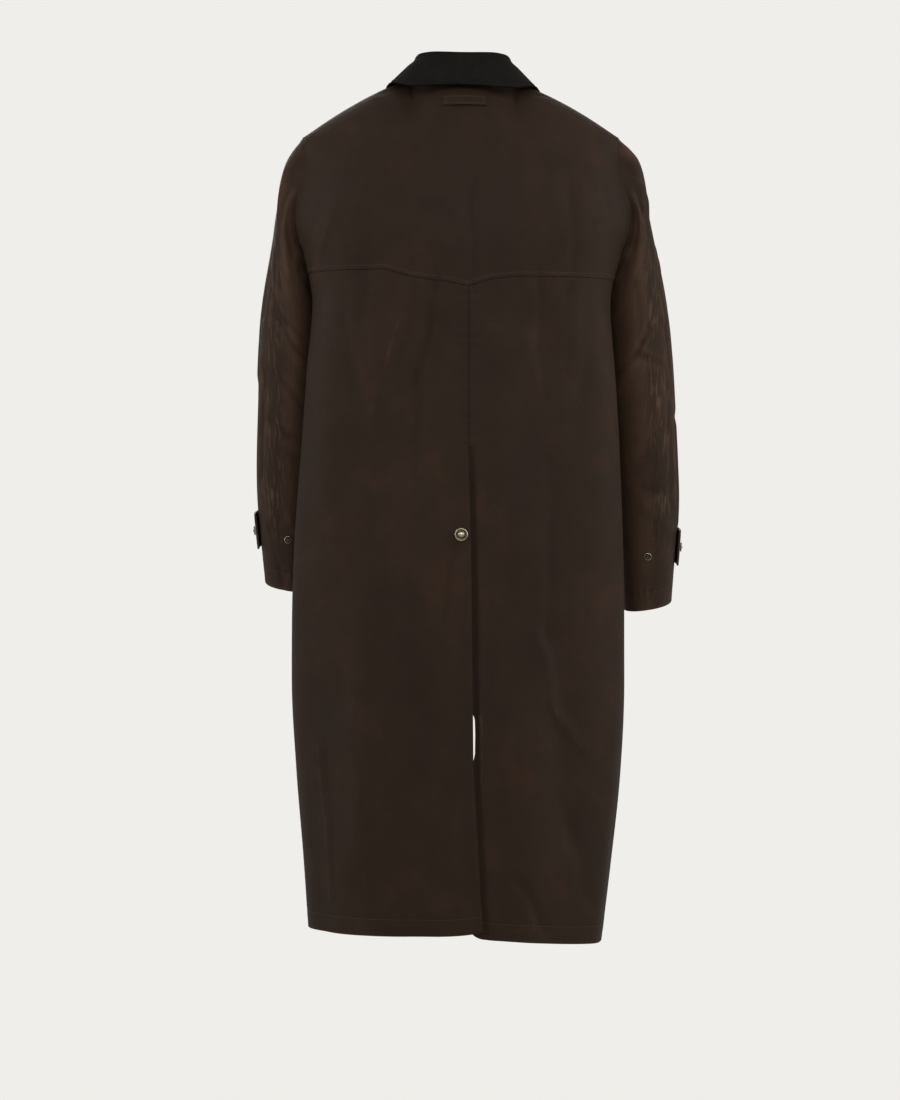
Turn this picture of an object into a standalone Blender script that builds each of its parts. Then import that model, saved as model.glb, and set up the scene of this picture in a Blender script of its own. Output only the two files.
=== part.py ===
"""Long waxed-cotton duster coat, modelled as worn and hanging open at the front.

Every cut piece is a closed cloth wall of its own: a deep back yoke, two back
panels that lap at a long vent, two fronts, two sleeves, a turned-down collar,
a locker loop, two cuff tabs, and the press snaps with their studs.

Metres, +Z up. The back faces +Y, the wearer's left is +X, and the origin is
the middle of the neck opening, where the wearer's neck and shoulders hold it.
"""
import math

import bpy
import numpy as np

# Walls and seams
CLOTH = 0.0018
COLLAR_WALL = 0.0024
TAB_WALL = 0.0024
SEAM_GAP = 0.0003
EDGE_INSET = 0.0002

# Levels are metres up the cloth from the hem at the centre back
ARMPIT = 0.925
ARMPIT_HEIGHT = -0.311
SHOULDER_LINE = 1.260

# One row for each girth line round the body, from the hem to the shoulder blades.
# left, right: half widths; back, front: depths; power: 2 is an ellipse, 3 is boxier;
# taper: how much narrower the front is; nest, nest_y: the hollow that the arm presses in;
# opening: half the gap between the fronts; side_drop: how much lower the sides lie.
GIRTH_COLUMNS = ("level", "height", "left", "right", "back", "front", "power",
                 "taper", "nest", "nest_y", "opening", "side_drop")
GIRTH_ROWS = (
    (0.000, -1.237, 0.2280, 0.2035, 0.170, 0.150, 2.3, 0.02, 0.000, -0.05, 0.052, 0.010),
    (0.100, -1.136, 0.2350, 0.2165, 0.171, 0.150, 2.3, 0.02, 0.000, -0.05, 0.050, 0.006),
    (0.230, -1.006, 0.2455, 0.2310, 0.170, 0.148, 2.3, 0.03, 0.000, -0.05, 0.044, 0.002),
    (0.360, -0.876, 0.2510, 0.2360, 0.168, 0.146, 2.4, 0.04, 0.010, -0.06, 0.037, 0.000),
    (0.480, -0.756, 0.2490, 0.2345, 0.166, 0.143, 2.5, 0.05, 0.038, -0.05, 0.031, 0.000),
    (0.600, -0.636, 0.2430, 0.2310, 0.163, 0.140, 2.7, 0.07, 0.050, -0.04, 0.028, 0.000),
    (0.710, -0.526, 0.2340, 0.2260, 0.159, 0.138, 2.9, 0.09, 0.054, -0.03, 0.026, 0.000),
    (0.820, -0.416, 0.2260, 0.2190, 0.156, 0.138, 3.0, 0.10, 0.058, -0.03, 0.026, 0.000),
    (ARMPIT, ARMPIT_HEIGHT, 0.2190, 0.2145, 0.157, 0.138, 3.0, 0.10, 0.040, -0.03, 0.027, 0.000),
    (1.028, -0.208, 0.2500, 0.2490, 0.158, 0.134, 2.8, 0.10, 0.000, -0.03, 0.030, 0.000),
    (1.150, -0.095, 0.2390, 0.2350, 0.128, 0.106, 2.4, 0.05, 0.000, -0.03, 0.038, 0.030),
)
GIRTH = dict(zip(GIRTH_COLUMNS, np.array(GIRTH_ROWS).T))
NEST_WIDTH = 0.080
HEM_LEAN = 0.045
LEAN_REACH = 0.45

# Shoulder line and neck edge: x, y, z of each named point
NECK_BACK = (0.000, 0.073, -0.004)
NECK_SIDE = (0.075, 0.003, 0.014)
NECK_FRONT = (0.046, -0.080, -0.060)
SHOULDER_TIP = (0.2375, -0.005, -0.0755)
RIGHT_TIP_INWARD = 0.007
RIGHT_NECK_LOWER = 0.006
SHOULDER_RISE = 0.0078
NECK_SHARE = 0.35

# How the cloth arrives at the shoulder line, and its normals along the neck edge
TIP_ROUNDING = 0.14
NECK_ARRIVAL = (0.30, 0.55, 0.75)
NECK_BLEND = (0.16, 0.22)
NECK_NORMAL_SIDE = 0.46
NECK_NORMAL_BACK = 0.80
NECK_NORMAL_FRONT = (0.20, -0.90)
NECK_NORMAL_UP = 0.75
NEAR_TIP = (0.02, 0.03)

# Armhole: how far its edge runs on to the back and the front, in quarters of the girth
ARMHOLE_BACK = 0.18
ARMHOLE_FRONT = 0.26
ARMHOLE_SAG = 0.05

# Back seams: height of the yoke seam at each x, and the laid-over edges of the vent
SEAM_X = -0.0065
YOKE_SEAM = ((-0.300, -0.2915), (-0.078, -0.2915), (-0.039, -0.2955), (-0.0065, -0.3055),
             (0.020, -0.2995), (0.076, -0.2915), (0.112, -0.2812), (0.300, -0.2812))
YOKE_LEVEL_LEFT = YOKE_SEAM[-1][1] - ARMPIT_HEIGHT + ARMPIT
YOKE_LEVEL_RIGHT = YOKE_SEAM[0][1] - ARMPIT_HEIGHT + ARMPIT
VENT_TOP = 0.700
VENT_COLUMNS = ("level", "upper_edge", "under_edge", "dip")
VENT_ROWS = (
    (0.000, -0.0280, -0.0080, 0.0045),
    (0.060, -0.0245, -0.0085, 0.0045),
    (0.130, -0.0210, -0.0100, 0.0045),
    (0.200, -0.0165, -0.0130, 0.0050),
    (0.250, -0.0140, -0.0192, 0.0050),
    (0.310, -0.0136, -0.0190, 0.0050),
    (0.370, -0.0130, -0.0100, 0.0050),
    (0.430, -0.0124, 0.0040, 0.0050),
    (0.540, -0.0112, 0.0130, 0.0050),
    (0.630, -0.0090, 0.0120, 0.0045),
    (0.675, -0.0078, -0.0084, 0.0028),
    (0.700, -0.0065, -0.0065, 0.0000),
)
VENT = dict(zip(VENT_COLUMNS, np.array(VENT_ROWS).T))
UNDERLAP_WIDTH = 0.024
UNDERLAP_EASE = 0.018
VENT_CORNER_LIFT = 0.011
VENT_CORNER_REACH = 0.035

# Large folds of the body: q is quarters of the girth from the centre back, + on the
# wearer's left, and each fold runs from one end to the other. depth under 0 is a trough.
FOLD_COLUMNS = ("q_start", "level_start", "q_end", "level_end", "width", "depth")
BODY_FOLDS = (
    (0.10, 0.915, 0.33, 0.620, 0.022, -0.0050),
    (0.31, 0.920, 0.53, 0.700, 0.020, 0.0040),
    (0.64, 0.860, 0.58, 0.480, 0.022, 0.0045),
    (0.42, 0.560, 0.50, 0.060, 0.024, 0.0055),
    (0.66, 0.420, 0.74, 0.000, 0.026, -0.0060),
    (0.20, 0.420, 0.24, 0.000, 0.026, -0.0050),
    (-0.20, 0.900, -0.26, 0.500, 0.024, 0.0040),
    (-0.38, 0.930, -0.44, 0.780, 0.020, -0.0050),
    (-0.66, 0.850, -0.60, 0.500, 0.022, 0.0045),
    (-0.46, 0.470, -0.54, 0.100, 0.022, -0.0065),
    (-0.30, 0.380, -0.33, 0.000, 0.026, 0.0050),
    (-0.76, 0.400, -0.72, 0.000, 0.026, 0.0060),
    (0.24, 1.080, 0.05, 0.985, 0.020, -0.0030),
    (-0.02, 1.120, -0.04, 0.980, 0.012, -0.0030),
    (1.20, 0.380, 1.14, 0.000, 0.028, -0.0060),
    (1.36, 0.800, 1.42, 0.100, 0.028, 0.0055),
    (1.62, 0.900, 1.60, 0.000, 0.028, -0.0050),
    (1.82, 0.620, 1.84, 0.000, 0.024, 0.0045),
    (-1.16, 0.360, -1.20, 0.000, 0.028, 0.0060),
    (-1.40, 0.780, -1.34, 0.080, 0.028, -0.0055),
    (-1.66, 0.880, -1.70, 0.000, 0.028, 0.0050),
)
FOLDS = dict(zip(FOLD_COLUMNS, np.array(BODY_FOLDS).T))
QUARTER_GIRTH = 0.27
FOLD_FADE = 0.06
HEM_FOLD_FADE = 0.12

# One row for each sleeve ring: outer, inner, back and front points of the left sleeve
SLEEVE_COLUMNS = ("outer_x", "inner_x", "back_x", "front_x", "back_y", "front_y",
                  "outer_z", "inner_z", "back_z", "front_z", "spread")
SLEEVE_ROWS = (
    (0.2550, 0.2075, 0.260, 0.236, 0.073, -0.092, -0.103, -0.325, -0.232, -0.228, -0.10),
    (0.2678, 0.2080, 0.262, 0.242, 0.067, -0.098, -0.160, -0.347, -0.278, -0.268, -0.15),
    (0.2808, 0.2080, 0.258, 0.246, 0.056, -0.101, -0.235, -0.372, -0.322, -0.310, 0.30),
    (0.2950, 0.2075, 0.257, 0.250, 0.045, -0.103, -0.315, -0.425, -0.385, -0.375, 0.38),
    (0.3050, 0.2110, 0.259, 0.257, 0.028, -0.105, -0.480, -0.505, -0.500, -0.475, 0.62),
    (0.3070, 0.2160, 0.262, 0.261, 0.012, -0.112, -0.590, -0.605, -0.605, -0.582, 0.80),
    (0.2955, 0.2225, 0.258, 0.257, -0.005, -0.118, -0.728, -0.740, -0.744, -0.716, 1.00),
)
SLEEVE = dict(zip(SLEEVE_COLUMNS, np.array(SLEEVE_ROWS).T))
RIGHT_SLEEVE_SPREAD = 0.0165
RIGHT_SLEEVE_DROP = 0.028
TURN_RADIUS = 0.0032
TURN_STEP = 0.0020
ROWS_PER_STRETCH = (1, 1, 2, 2, 2, 2, 4, 2, 3)

# Sleeve folds: angle in degrees round the sleeve (0 outer, 90 back), place in rings
SLEEVE_FOLD_COLUMNS = ("angle_start", "place_start", "angle_end", "place_end", "width", "depth")
SLEEVE_FOLDS = (
    (20.0, 5.2, 120.0, 6.0, 0.016, -0.0040),
    (60.0, 5.7, 165.0, 6.3, 0.015, 0.0030),
    (195.0, 6.6, 300.0, 6.9, 0.016, -0.0045),
    (215.0, 7.1, 320.0, 6.7, 0.015, 0.0040),
    (40.0, 6.8, 130.0, 7.6, 0.016, -0.0035),
    (330.0, 5.4, 350.0, 7.2, 0.014, -0.0030),
)
SLEEVE_FOLD = dict(zip(SLEEVE_FOLD_COLUMNS, np.array(SLEEVE_FOLDS).T))
SLEEVE_RADIUS = 0.060
RING_STEP = 0.10
SLEEVE_FOLD_FADE = 0.03

# Collar: the fold line and the free edge at each station from the centre back to the front
COLLAR_COLUMNS = ("fold_x", "fold_y", "fold_z", "edge_x", "edge_y", "edge_z")
COLLAR_STATIONS = (
    (0.000, 0.058, 0.0415, 0.000, 0.100, -0.0080),
    (0.050, 0.040, 0.0430, 0.073, 0.078, -0.0070),
    (0.068, -0.002, 0.0370, 0.113, 0.002, 0.0030),
    (0.059, -0.046, 0.0110, 0.116, -0.066, -0.0280),
    (0.042, -0.080, -0.0300, 0.092, -0.122, -0.1000),
)
COLLAR_TURN = 0.0035
COLLAR_BULGE = 0.0030
COLLAR_SIDE_LOWER = 0.006

# Tabs and snaps
TAB_PLACE = 8.45
TAB_HALF_WIDTH = 0.0265
TAB_START = -75.0
TAB_END = 18.0
TAB_CLEAR = 0.0025
TAB_LIFT = 0.0040
TAB_FLAT_SHARE = 0.45
TAB_BOW = 0.0004
LOOP_LEFT = 0.029
LOOP_RIGHT = -0.033
LOOP_LEVELS = (1.214, 1.231)
LOOP_WALL = 0.0020
LOOP_ARCH = 0.0018
VENT_SNAP_X = 0.0031
VENT_SNAP_LEVEL = 0.575
CUFF_SNAP_ANGLE = 4.0
CUFF_STUD_ANGLE = 88.0
CUFF_STUD_DROP = 0.06
SNAP_CLEAR = 0.0005
VENT_SNAP_RADIUS = 0.0095
SNAP_RADIUS = 0.0070
STUD_RADIUS = 0.0055
FRONT_SNAP_LEVELS = (0.40, 0.52, 0.64, 0.76, 0.88, 1.00)
FRONT_SNAP_Q = 1.90

# Grid counts
NECK_STEPS = 5
SHOULDER_STEPS = 8
LOW_LEVELS = 21
SIDE_STEPS = 3
YOKE_STEPS = 8
FRONT_ARM_STEPS = 10
PI = math.pi

# Colours, roughness and metallic value of each finish
FINISHES = {
    "waxed_cotton": ((0.030, 0.019, 0.013, 1.0), 0.55, 0.0),
    "corded_collar": ((0.009, 0.009, 0.007, 1.0), 0.90, 0.0),
    "snap_metal": ((0.200, 0.170, 0.130, 1.0), 0.35, 1.0),
}


def clear_scene():
    """Remove what the start file holds."""
    for item in list(bpy.data.objects):
        bpy.data.objects.remove(item, do_unlink=True)


def smooth(value):
    """Ease from 0 to 1 as value goes from 0 to 1."""
    value = np.clip(value, 0.0, 1.0)
    return value * value * (3.0 - 2.0 * value)


def unit(vectors):
    """Vectors brought to length 1."""
    return vectors / np.maximum(np.linalg.norm(vectors, axis=-1, keepdims=True), 1e-12)


def finish_for(name, finish):
    """A material of the object's own, with the finish's colour."""
    colour, roughness, metallic = FINISHES[finish]
    material = bpy.data.materials.new(name + "_" + finish)
    material.use_nodes = True
    shader = material.node_tree.nodes["Principled BSDF"]
    shader.inputs["Base Color"].default_value = colour
    shader.inputs["Roughness"].default_value = roughness
    shader.inputs["Metallic"].default_value = metallic
    material.diffuse_color = colour
    return material


def add_object(name, vertices, faces, finish):
    """A named object with its own material, its faces pointing out."""
    mesh = bpy.data.meshes.new(name)
    mesh.from_pydata([tuple(map(float, point)) for point in vertices], [], faces)
    mesh.validate()
    item = bpy.data.objects.new(name, mesh)
    bpy.context.scene.collection.objects.link(item)
    mesh.materials.append(finish_for(name, finish))
    return item


def cloth_wall(name, points, normals, wall, finish, tube=False):
    """A closed wall round a grid of points: outer and inner skins, and rims at the edges."""
    rows, columns = points.shape[:2]
    outer = points + normals * wall / 2.0
    inner = points - normals * wall / 2.0
    vertices = np.concatenate([outer.reshape(-1, 3), inner.reshape(-1, 3)])
    number = np.arange(rows * columns).reshape(rows, columns)
    if tube:
        number = np.concatenate([number, number[:, :1]], axis=1)
    shift = rows * columns
    faces = []
    for row in range(number.shape[0] - 1):
        for column in range(number.shape[1] - 1):
            a, b = number[row, column], number[row, column + 1]
            c, d = number[row + 1, column + 1], number[row + 1, column]
            faces += [(a, b, c), (a, c, d)]
            faces += [(a + shift, c + shift, b + shift), (a + shift, d + shift, c + shift)]
    edges = [number[0, ::-1], number[-1, :]]
    if not tube:
        edges += [number[:, 0], number[::-1, -1]]
    for edge in edges:
        for first, second in zip(edge[:-1], edge[1:]):
            faces += [(first, second, second + shift), (first, second + shift, first + shift)]
    faces = [tuple(int(corner) for corner in face) for face in faces]
    if signed_volume(vertices, faces) < 0.0:
        faces = [face[::-1] for face in faces]
    return add_object(name, vertices, faces, finish)


def signed_volume(vertices, faces):
    """Volume inside triangles, over 0 when they face out."""
    corners = vertices[np.array(faces)]
    return float(np.sum(corners[:, 0] * np.cross(corners[:, 1], corners[:, 2])) / 6.0)


def through_lines(levels, lines, top_slope, level):
    """A smooth curve through the girth lines, read at each point's own level."""
    steps = np.diff(levels).reshape((-1,) + (1,) * (lines.ndim - 1))
    chords = np.diff(lines, axis=0) / steps
    inner = (chords[1:] * steps[:-1] + chords[:-1] * steps[1:]) / (steps[1:] + steps[:-1])
    slopes = np.concatenate([chords[:1], inner, top_slope[None]])
    index = np.clip(np.searchsorted(levels, level, side="right") - 1, 0, len(levels) - 2)
    pick = index[None, ..., None]
    start = np.take_along_axis(lines, pick, axis=0)[0]
    end = np.take_along_axis(lines, pick + 1, axis=0)[0]
    slope_start = np.take_along_axis(slopes, pick, axis=0)[0]
    slope_end = np.take_along_axis(slopes, pick + 1, axis=0)[0]
    step = (levels[index + 1] - levels[index])[..., None]
    share = (level - levels[index])[..., None] / step
    return (start * (2 * share ** 3 - 3 * share ** 2 + 1)
            + end * (3 * share ** 2 - 2 * share ** 3)
            + slope_start * step * (share ** 3 - 2 * share ** 2 + share)
            + slope_end * step * (share ** 3 - share ** 2))


def raw_girth(row, angle, width):
    """An outline r = (|cos/depth|^n + |sin/width|^n)^(-1/n), tapered and pressed in by the arm."""
    power = GIRTH["power"][row]
    depth = np.where(np.cos(angle) >= 0.0, GIRTH["back"][row], GIRTH["front"][row])
    radius = (np.abs(np.cos(angle) / depth) ** power
              + np.abs(np.sin(angle) / width) ** power) ** (-1.0 / power)
    x = radius * np.sin(angle) * (1.0 - GIRTH["taper"][row] * (1.0 - np.cos(angle)) / 2.0)
    y = radius * np.cos(angle)
    hollow = GIRTH["nest"][row] * np.exp(-((y - GIRTH["nest_y"][row]) / NEST_WIDTH) ** 2)
    return x - hollow * np.sin(angle) ** 2, y


def girth_line(row, q):
    """One girth line at q, scaled so that its widest point is the half width in the table."""
    side = np.where(q < 0.0, -1.0, 1.0)
    turn = np.abs(q)
    taper = GIRTH["taper"][row]
    last = PI - math.asin(GIRTH["opening"][row] / (GIRTH["front"][row] * (1.0 - taper)))
    angle = np.where(turn <= 1.0, turn * PI / 2.0, PI / 2.0 + (turn - 1.0) * (last - PI / 2.0))
    every = np.linspace(0.0, PI, 181)
    x = np.zeros_like(q)
    y = np.zeros_like(q)
    for sign, column in ((1.0, "left"), (-1.0, "right")):
        width = GIRTH[column][row]
        widest = raw_girth(row, every, width)[0].max()
        side_x, side_y = raw_girth(row, angle, width)
        x = np.where(side == sign, side_x * width / widest, x)
        y = np.where(side == sign, side_y, y)
    height = GIRTH["height"][row] - GIRTH["side_drop"][row] * np.sin(angle) ** 2
    lean = HEM_LEAN * np.clip(1.0 - GIRTH["level"][row] / LEAN_REACH, 0.0, 1.0)
    return np.stack([side * x, y, height + lean * side * x], axis=-1)


def shoulder_line(q):
    """The neck edge and the shoulder seam, from the centre back round to the front edge."""
    side = np.where(q < 0.0, -1.0, 1.0)
    turn = np.abs(q)
    right = side < 0.0
    side_z = NECK_SIDE[2] - RIGHT_NECK_LOWER * right
    tip_x = SHOULDER_TIP[0] - RIGHT_TIP_INWARD * right
    back_angle = PI / 2.0 * turn / NECK_SHARE
    front_angle = PI / 2.0 * (2.0 - turn) / NECK_SHARE
    along = np.sin(PI / 2.0 * np.clip(1.0 - np.abs(turn - 1.0) / (1.0 - NECK_SHARE), 0.0, 1.0))
    x = NECK_SIDE[0] + (tip_x - NECK_SIDE[0]) * along
    y = NECK_SIDE[1] + (SHOULDER_TIP[1] - NECK_SIDE[1]) * along
    z = side_z + (SHOULDER_TIP[2] - side_z) * along + SHOULDER_RISE * 4.0 * along * (1.0 - along)
    at_back = turn < NECK_SHARE
    x = np.where(at_back, NECK_SIDE[0] * np.sin(back_angle), x)
    y = np.where(at_back, NECK_SIDE[1] + (NECK_BACK[1] - NECK_SIDE[1]) * np.cos(back_angle), y)
    z = np.where(at_back, side_z + (NECK_BACK[2] - side_z) * np.cos(back_angle), z)
    at_front = turn > 2.0 - NECK_SHARE
    x = np.where(at_front, NECK_FRONT[0] + (NECK_SIDE[0] - NECK_FRONT[0]) * np.sin(front_angle), x)
    y = np.where(at_front, NECK_SIDE[1] + (NECK_FRONT[1] - NECK_SIDE[1]) * np.cos(front_angle), y)
    z = np.where(at_front, side_z + (NECK_FRONT[2] - side_z) * np.cos(front_angle), z)
    return np.stack([side * x, y, z], axis=-1)


def shoulder_slope(q):
    """How the cloth arrives at the shoulder line: level over the shoulders, rising at the neck."""
    side = np.where(q < 0.0, -1.0, 1.0)
    turn = np.abs(q)
    facing = np.sin(PI / 2.0 * np.clip((1.0 - turn) / TIP_ROUNDING, -1.0, 1.0))
    over = np.stack([np.zeros_like(q), -facing, np.zeros_like(q)], axis=-1)
    inward, over_neck, upward = NECK_ARRIVAL
    neck = np.stack([-inward * side * np.clip(1.0 - np.abs(turn - 1.0), 0.0, 1.0),
                     -over_neck * facing, np.full_like(q, upward)], axis=-1)
    early, width = NECK_BLEND
    share = smooth((np.abs(turn - 1.0) - (1.0 - NECK_SHARE) + early) / width)[..., None]
    return over * (1.0 - share) + neck * share


def body_folds(q, level):
    """Push in or out by every fold: a soft bell across its line, faded at its ends."""
    push = np.zeros_like(q)
    for number in range(len(BODY_FOLDS)):
        fold = {column: FOLDS[column][number] for column in FOLD_COLUMNS}
        along_q = (fold["q_end"] - fold["q_start"]) * QUARTER_GIRTH
        along_level = fold["level_end"] - fold["level_start"]
        length = math.hypot(along_q, along_level)
        from_q = (q - fold["q_start"]) * QUARTER_GIRTH
        from_level = level - fold["level_start"]
        along = (from_q * along_q + from_level * along_level) / length
        across = (from_q * along_level - from_level * along_q) / length
        fade = smooth(along / FOLD_FADE) * smooth((length - along) / FOLD_FADE)
        if fold["level_end"] <= 0.0:
            fade = smooth(along / HEM_FOLD_FADE)
        push += fold["depth"] * fade * np.exp(-(across / fold["width"]) ** 2)
    return push


def body(q, level):
    """A point of the body cloth. q: 0 centre back, 1 side, 2 front edge, + on the left."""
    q, level = np.broadcast_arrays(np.asarray(q, float), np.asarray(level, float))
    lines = [girth_line(row, q) for row in range(len(GIRTH_ROWS))] + [shoulder_line(q)]
    levels = np.append(GIRTH["level"], SHOULDER_LINE)
    point = through_lines(levels, np.stack(lines), shoulder_slope(q), level)
    outward = unit(point * (1.0, 1.0, 0.0))
    return point + outward * body_folds(q, level)[..., None]


def body_normal(q, level):
    """The cloth's outward normal, the same for pieces that share a seam."""
    q, level = np.broadcast_arrays(np.asarray(q, float), np.asarray(level, float))
    step = 1e-3
    tip_level, tip_turn = NEAR_TIP
    near_tip = (level > SHOULDER_LINE - tip_level) & (np.abs(np.abs(q) - 1.0) < tip_turn)
    q = np.where(near_tip, np.sign(q) * (1.0 - tip_turn), q)
    up = body(q, np.minimum(level + step, SHOULDER_LINE)) - body(q, np.maximum(level - step, 0.0))
    round_body = body(q + step, level) - body(q - step, level)
    normal = unit(np.cross(up, round_body))
    turn = np.abs(q)
    back_share = np.cos(PI / 2.0 * np.clip(turn / NECK_SHARE, 0.0, 1.0))
    front_share = np.cos(PI / 2.0 * np.clip((2.0 - turn) / NECK_SHARE, 0.0, 1.0))
    side = np.where(q < 0.0, -1.0, 1.0)
    sideways = (NECK_NORMAL_SIDE * (1.0 - back_share) * (1.0 - front_share)
                + NECK_NORMAL_FRONT[0] * front_share)
    top = np.stack([side * sideways,
                    NECK_NORMAL_BACK * back_share + NECK_NORMAL_FRONT[1] * front_share,
                    np.full_like(q, NECK_NORMAL_UP)], axis=-1)
    near_top = smooth((level - SHOULDER_LINE + tip_level) / tip_level)[..., None]
    return unit(normal * (1.0 - near_top) + unit(top) * near_top)


def armhole(angle):
    """q (unsigned) and level of the armhole edge: 0 tip, 90 back, 180 armpit, 270 front."""
    angle = np.radians(angle)
    middle = (SHOULDER_LINE + ARMPIT) / 2.0
    half = (SHOULDER_LINE - ARMPIT) / 2.0
    level = middle + half * np.cos(angle) - ARMHOLE_SAG * np.sin(angle) ** 2
    reach = np.where(np.sin(angle) >= 0.0, ARMHOLE_BACK, ARMHOLE_FRONT)
    return 1.0 - reach * np.sin(angle), level


def armhole_angle(level):
    """The back angle in degrees at which the armhole edge has this level."""
    middle = (SHOULDER_LINE + ARMPIT) / 2.0
    half = (SHOULDER_LINE - ARMPIT) / 2.0
    rest = middle - ARMHOLE_SAG - level
    cosine = (-half + math.sqrt(half * half - 4.0 * ARMHOLE_SAG * rest)) / (2.0 * ARMHOLE_SAG)
    return math.degrees(math.acos(cosine))


def q_at(x, level):
    """q of the points near the centre back that lie x to the wearer's left at this level."""
    x, level = np.broadcast_arrays(np.asarray(x, float), np.asarray(level, float))
    near_back = np.linspace(-0.5, 0.5, 101)
    found = [np.interp(one_x, body(near_back, one_level)[:, 0], near_back)
             for one_x, one_level in zip(x.ravel(), level.ravel())]
    return np.reshape(found, x.shape)


def yoke_seam_level(q):
    """Level of the yoke seam at q, from its heights at each x."""
    across, heights = np.array(YOKE_SEAM).T
    x = body(q, np.full_like(q, YOKE_LEVEL_LEFT))[..., 0]
    return np.interp(x, across, heights) - ARMPIT_HEIGHT + ARMPIT


def column_shares():
    """Shares across half a panel: the neck columns, then the shoulder columns."""
    neck = np.linspace(0.0, NECK_SHARE, NECK_STEPS + 1)
    return np.concatenate([neck, np.linspace(NECK_SHARE, 1.0, SHOULDER_STEPS + 1)[1:]])


def low_levels():
    """Levels from the hem to the armpit, with rows at the vent's own levels."""
    vent_levels = VENT["level"]
    above = np.linspace(VENT_TOP, ARMPIT, LOW_LEVELS - len(vent_levels) + 1)[1:]
    return np.concatenate([vent_levels, above])


def drawn_in(points, first_row=True, last_row=True, first_column=True, last_column=True):
    """Move the named edges in towards their neighbours, to leave the seam gap."""
    points = points.copy()
    moves = ((first_row, (0,), (1,)), (last_row, (-1,), (-2,)),
             (first_column, (slice(None), 0), (slice(None), 1)),
             (last_column, (slice(None), -1), (slice(None), -2)))
    for wanted, edge, neighbour in moves:
        if wanted:
            points[edge] += unit(points[neighbour] - points[edge]) * EDGE_INSET
    return points


def yoke_angles(side):
    """Armhole angles of the yoke's ends, from its seam up to the shoulder tip."""
    seam = armhole_angle(YOKE_LEVEL_LEFT if side > 0 else YOKE_LEVEL_RIGHT)
    return np.linspace(seam, 0.0, YOKE_STEPS + 1)


def back_grid(side):
    """q and level over one lower back panel, from its centre edge to the side seam."""
    shares = column_shares()
    edge = "upper_edge" if side > 0 else "under_edge"
    levels = low_levels()
    centre = np.where(levels < VENT_TOP, np.interp(levels, VENT["level"], VENT[edge]), SEAM_X)
    centre = q_at(centre, levels)[:, None]
    low_q = centre + (side - centre) * shares
    low_level = np.repeat(levels[:, None], len(shares), axis=1)
    seam_angle = yoke_angles(side)[0]
    q_edge, level_edge = armhole(np.linspace(180.0, seam_angle, SIDE_STEPS + 1)[1:])
    centre = q_at(SEAM_X, level_edge)[:, None]
    high_q = centre + (side * q_edge[:, None] - centre) * shares
    climb = (level_edge - ARMPIT) / (level_edge[-1] - ARMPIT)
    high_level = ARMPIT + climb[:, None] * (yoke_seam_level(high_q) - ARMPIT)
    return np.concatenate([low_q, high_q]), np.concatenate([low_level, high_level])


def underlap_dip(q, level):
    """How far the right back panel sinks under the left one beside the vent."""
    x = body(q, level)[..., 0]
    upper = np.interp(level, VENT["level"], VENT["upper_edge"])
    depth = np.where(level < VENT_TOP, np.interp(level, VENT["level"], VENT["dip"]), 0.0)
    return depth * smooth((x - upper + UNDERLAP_WIDTH) / UNDERLAP_EASE)


def add_back_panels():
    """The two lower back panels, the left one laid over the right one at the vent."""
    for side, name in ((1, "back_left"), (-1, "back_right")):
        q, level = back_grid(side)
        points, normals = body(q, level), body_normal(q, level)
        if side < 0:
            points = points - normals * underlap_dip(q, level)[..., None]
        if side > 0:
            near_edge = np.exp(-np.abs(points[..., 0] - VENT["upper_edge"][0]) / VENT_CORNER_REACH)
            points[..., 2] += VENT_CORNER_LIFT * near_edge * (1.0 - smooth(level / 0.10))
        cloth_wall(name, drawn_in(points, first_row=False), normals, CLOTH, "waxed_cotton")


def yoke_half(side):
    """q and level over half of the yoke, from the centre out, rows going up."""
    shares = column_shares()
    q_edge, level_edge = armhole(yoke_angles(side))
    climb = (level_edge - level_edge[0]) / (level_edge[-1] - level_edge[0])
    centre = (q_at(SEAM_X, level_edge[0]) * (1.0 - climb))[:, None]
    q = centre + (side * q_edge[:, None] - centre) * shares
    seam = yoke_seam_level(q)
    return q, seam + climb[:, None] * (SHOULDER_LINE - seam)


def add_yoke():
    """The back yoke, in one piece from armhole to armhole."""
    left_q, left_level = yoke_half(1)
    right_q, right_level = yoke_half(-1)
    q = np.concatenate([right_q[:, :0:-1], left_q], axis=1)
    level = np.concatenate([right_level[:, :0:-1], left_level], axis=1)
    cloth_wall("back_yoke", drawn_in(body(q, level)), body_normal(q, level), CLOTH,
               "waxed_cotton")


def add_fronts():
    """The two fronts, from the side seam and armhole to the open front edge."""
    shares = 1.0 - column_shares()[::-1]
    levels = low_levels()
    angles = np.linspace(180.0, 360.0, FRONT_ARM_STEPS + 1)[1:]
    q_edge, level_edge = armhole(angles)
    q_edge = np.concatenate([np.ones_like(levels), q_edge])
    level = np.repeat(np.concatenate([levels, level_edge])[:, None], len(shares), axis=1)
    q = q_edge[:, None] + (2.0 - q_edge[:, None]) * shares
    for side, name in ((1, "front_left"), (-1, "front_right")):
        points, normals = body(side * q, level), body_normal(side * q, level)
        cloth_wall(name, drawn_in(points, first_row=False, last_column=False), normals,
                   CLOTH, "waxed_cotton")


def sleeve_angles(side):
    """Angles round the armhole, at the same points as the panels' edges."""
    yoke = yoke_angles(side)[::-1]
    below = np.linspace(yoke[-1], 180.0, SIDE_STEPS + 1)[1:]
    front = np.linspace(180.0, 360.0, FRONT_ARM_STEPS + 1)[1:-1]
    return np.concatenate([yoke, below, front])


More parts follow.
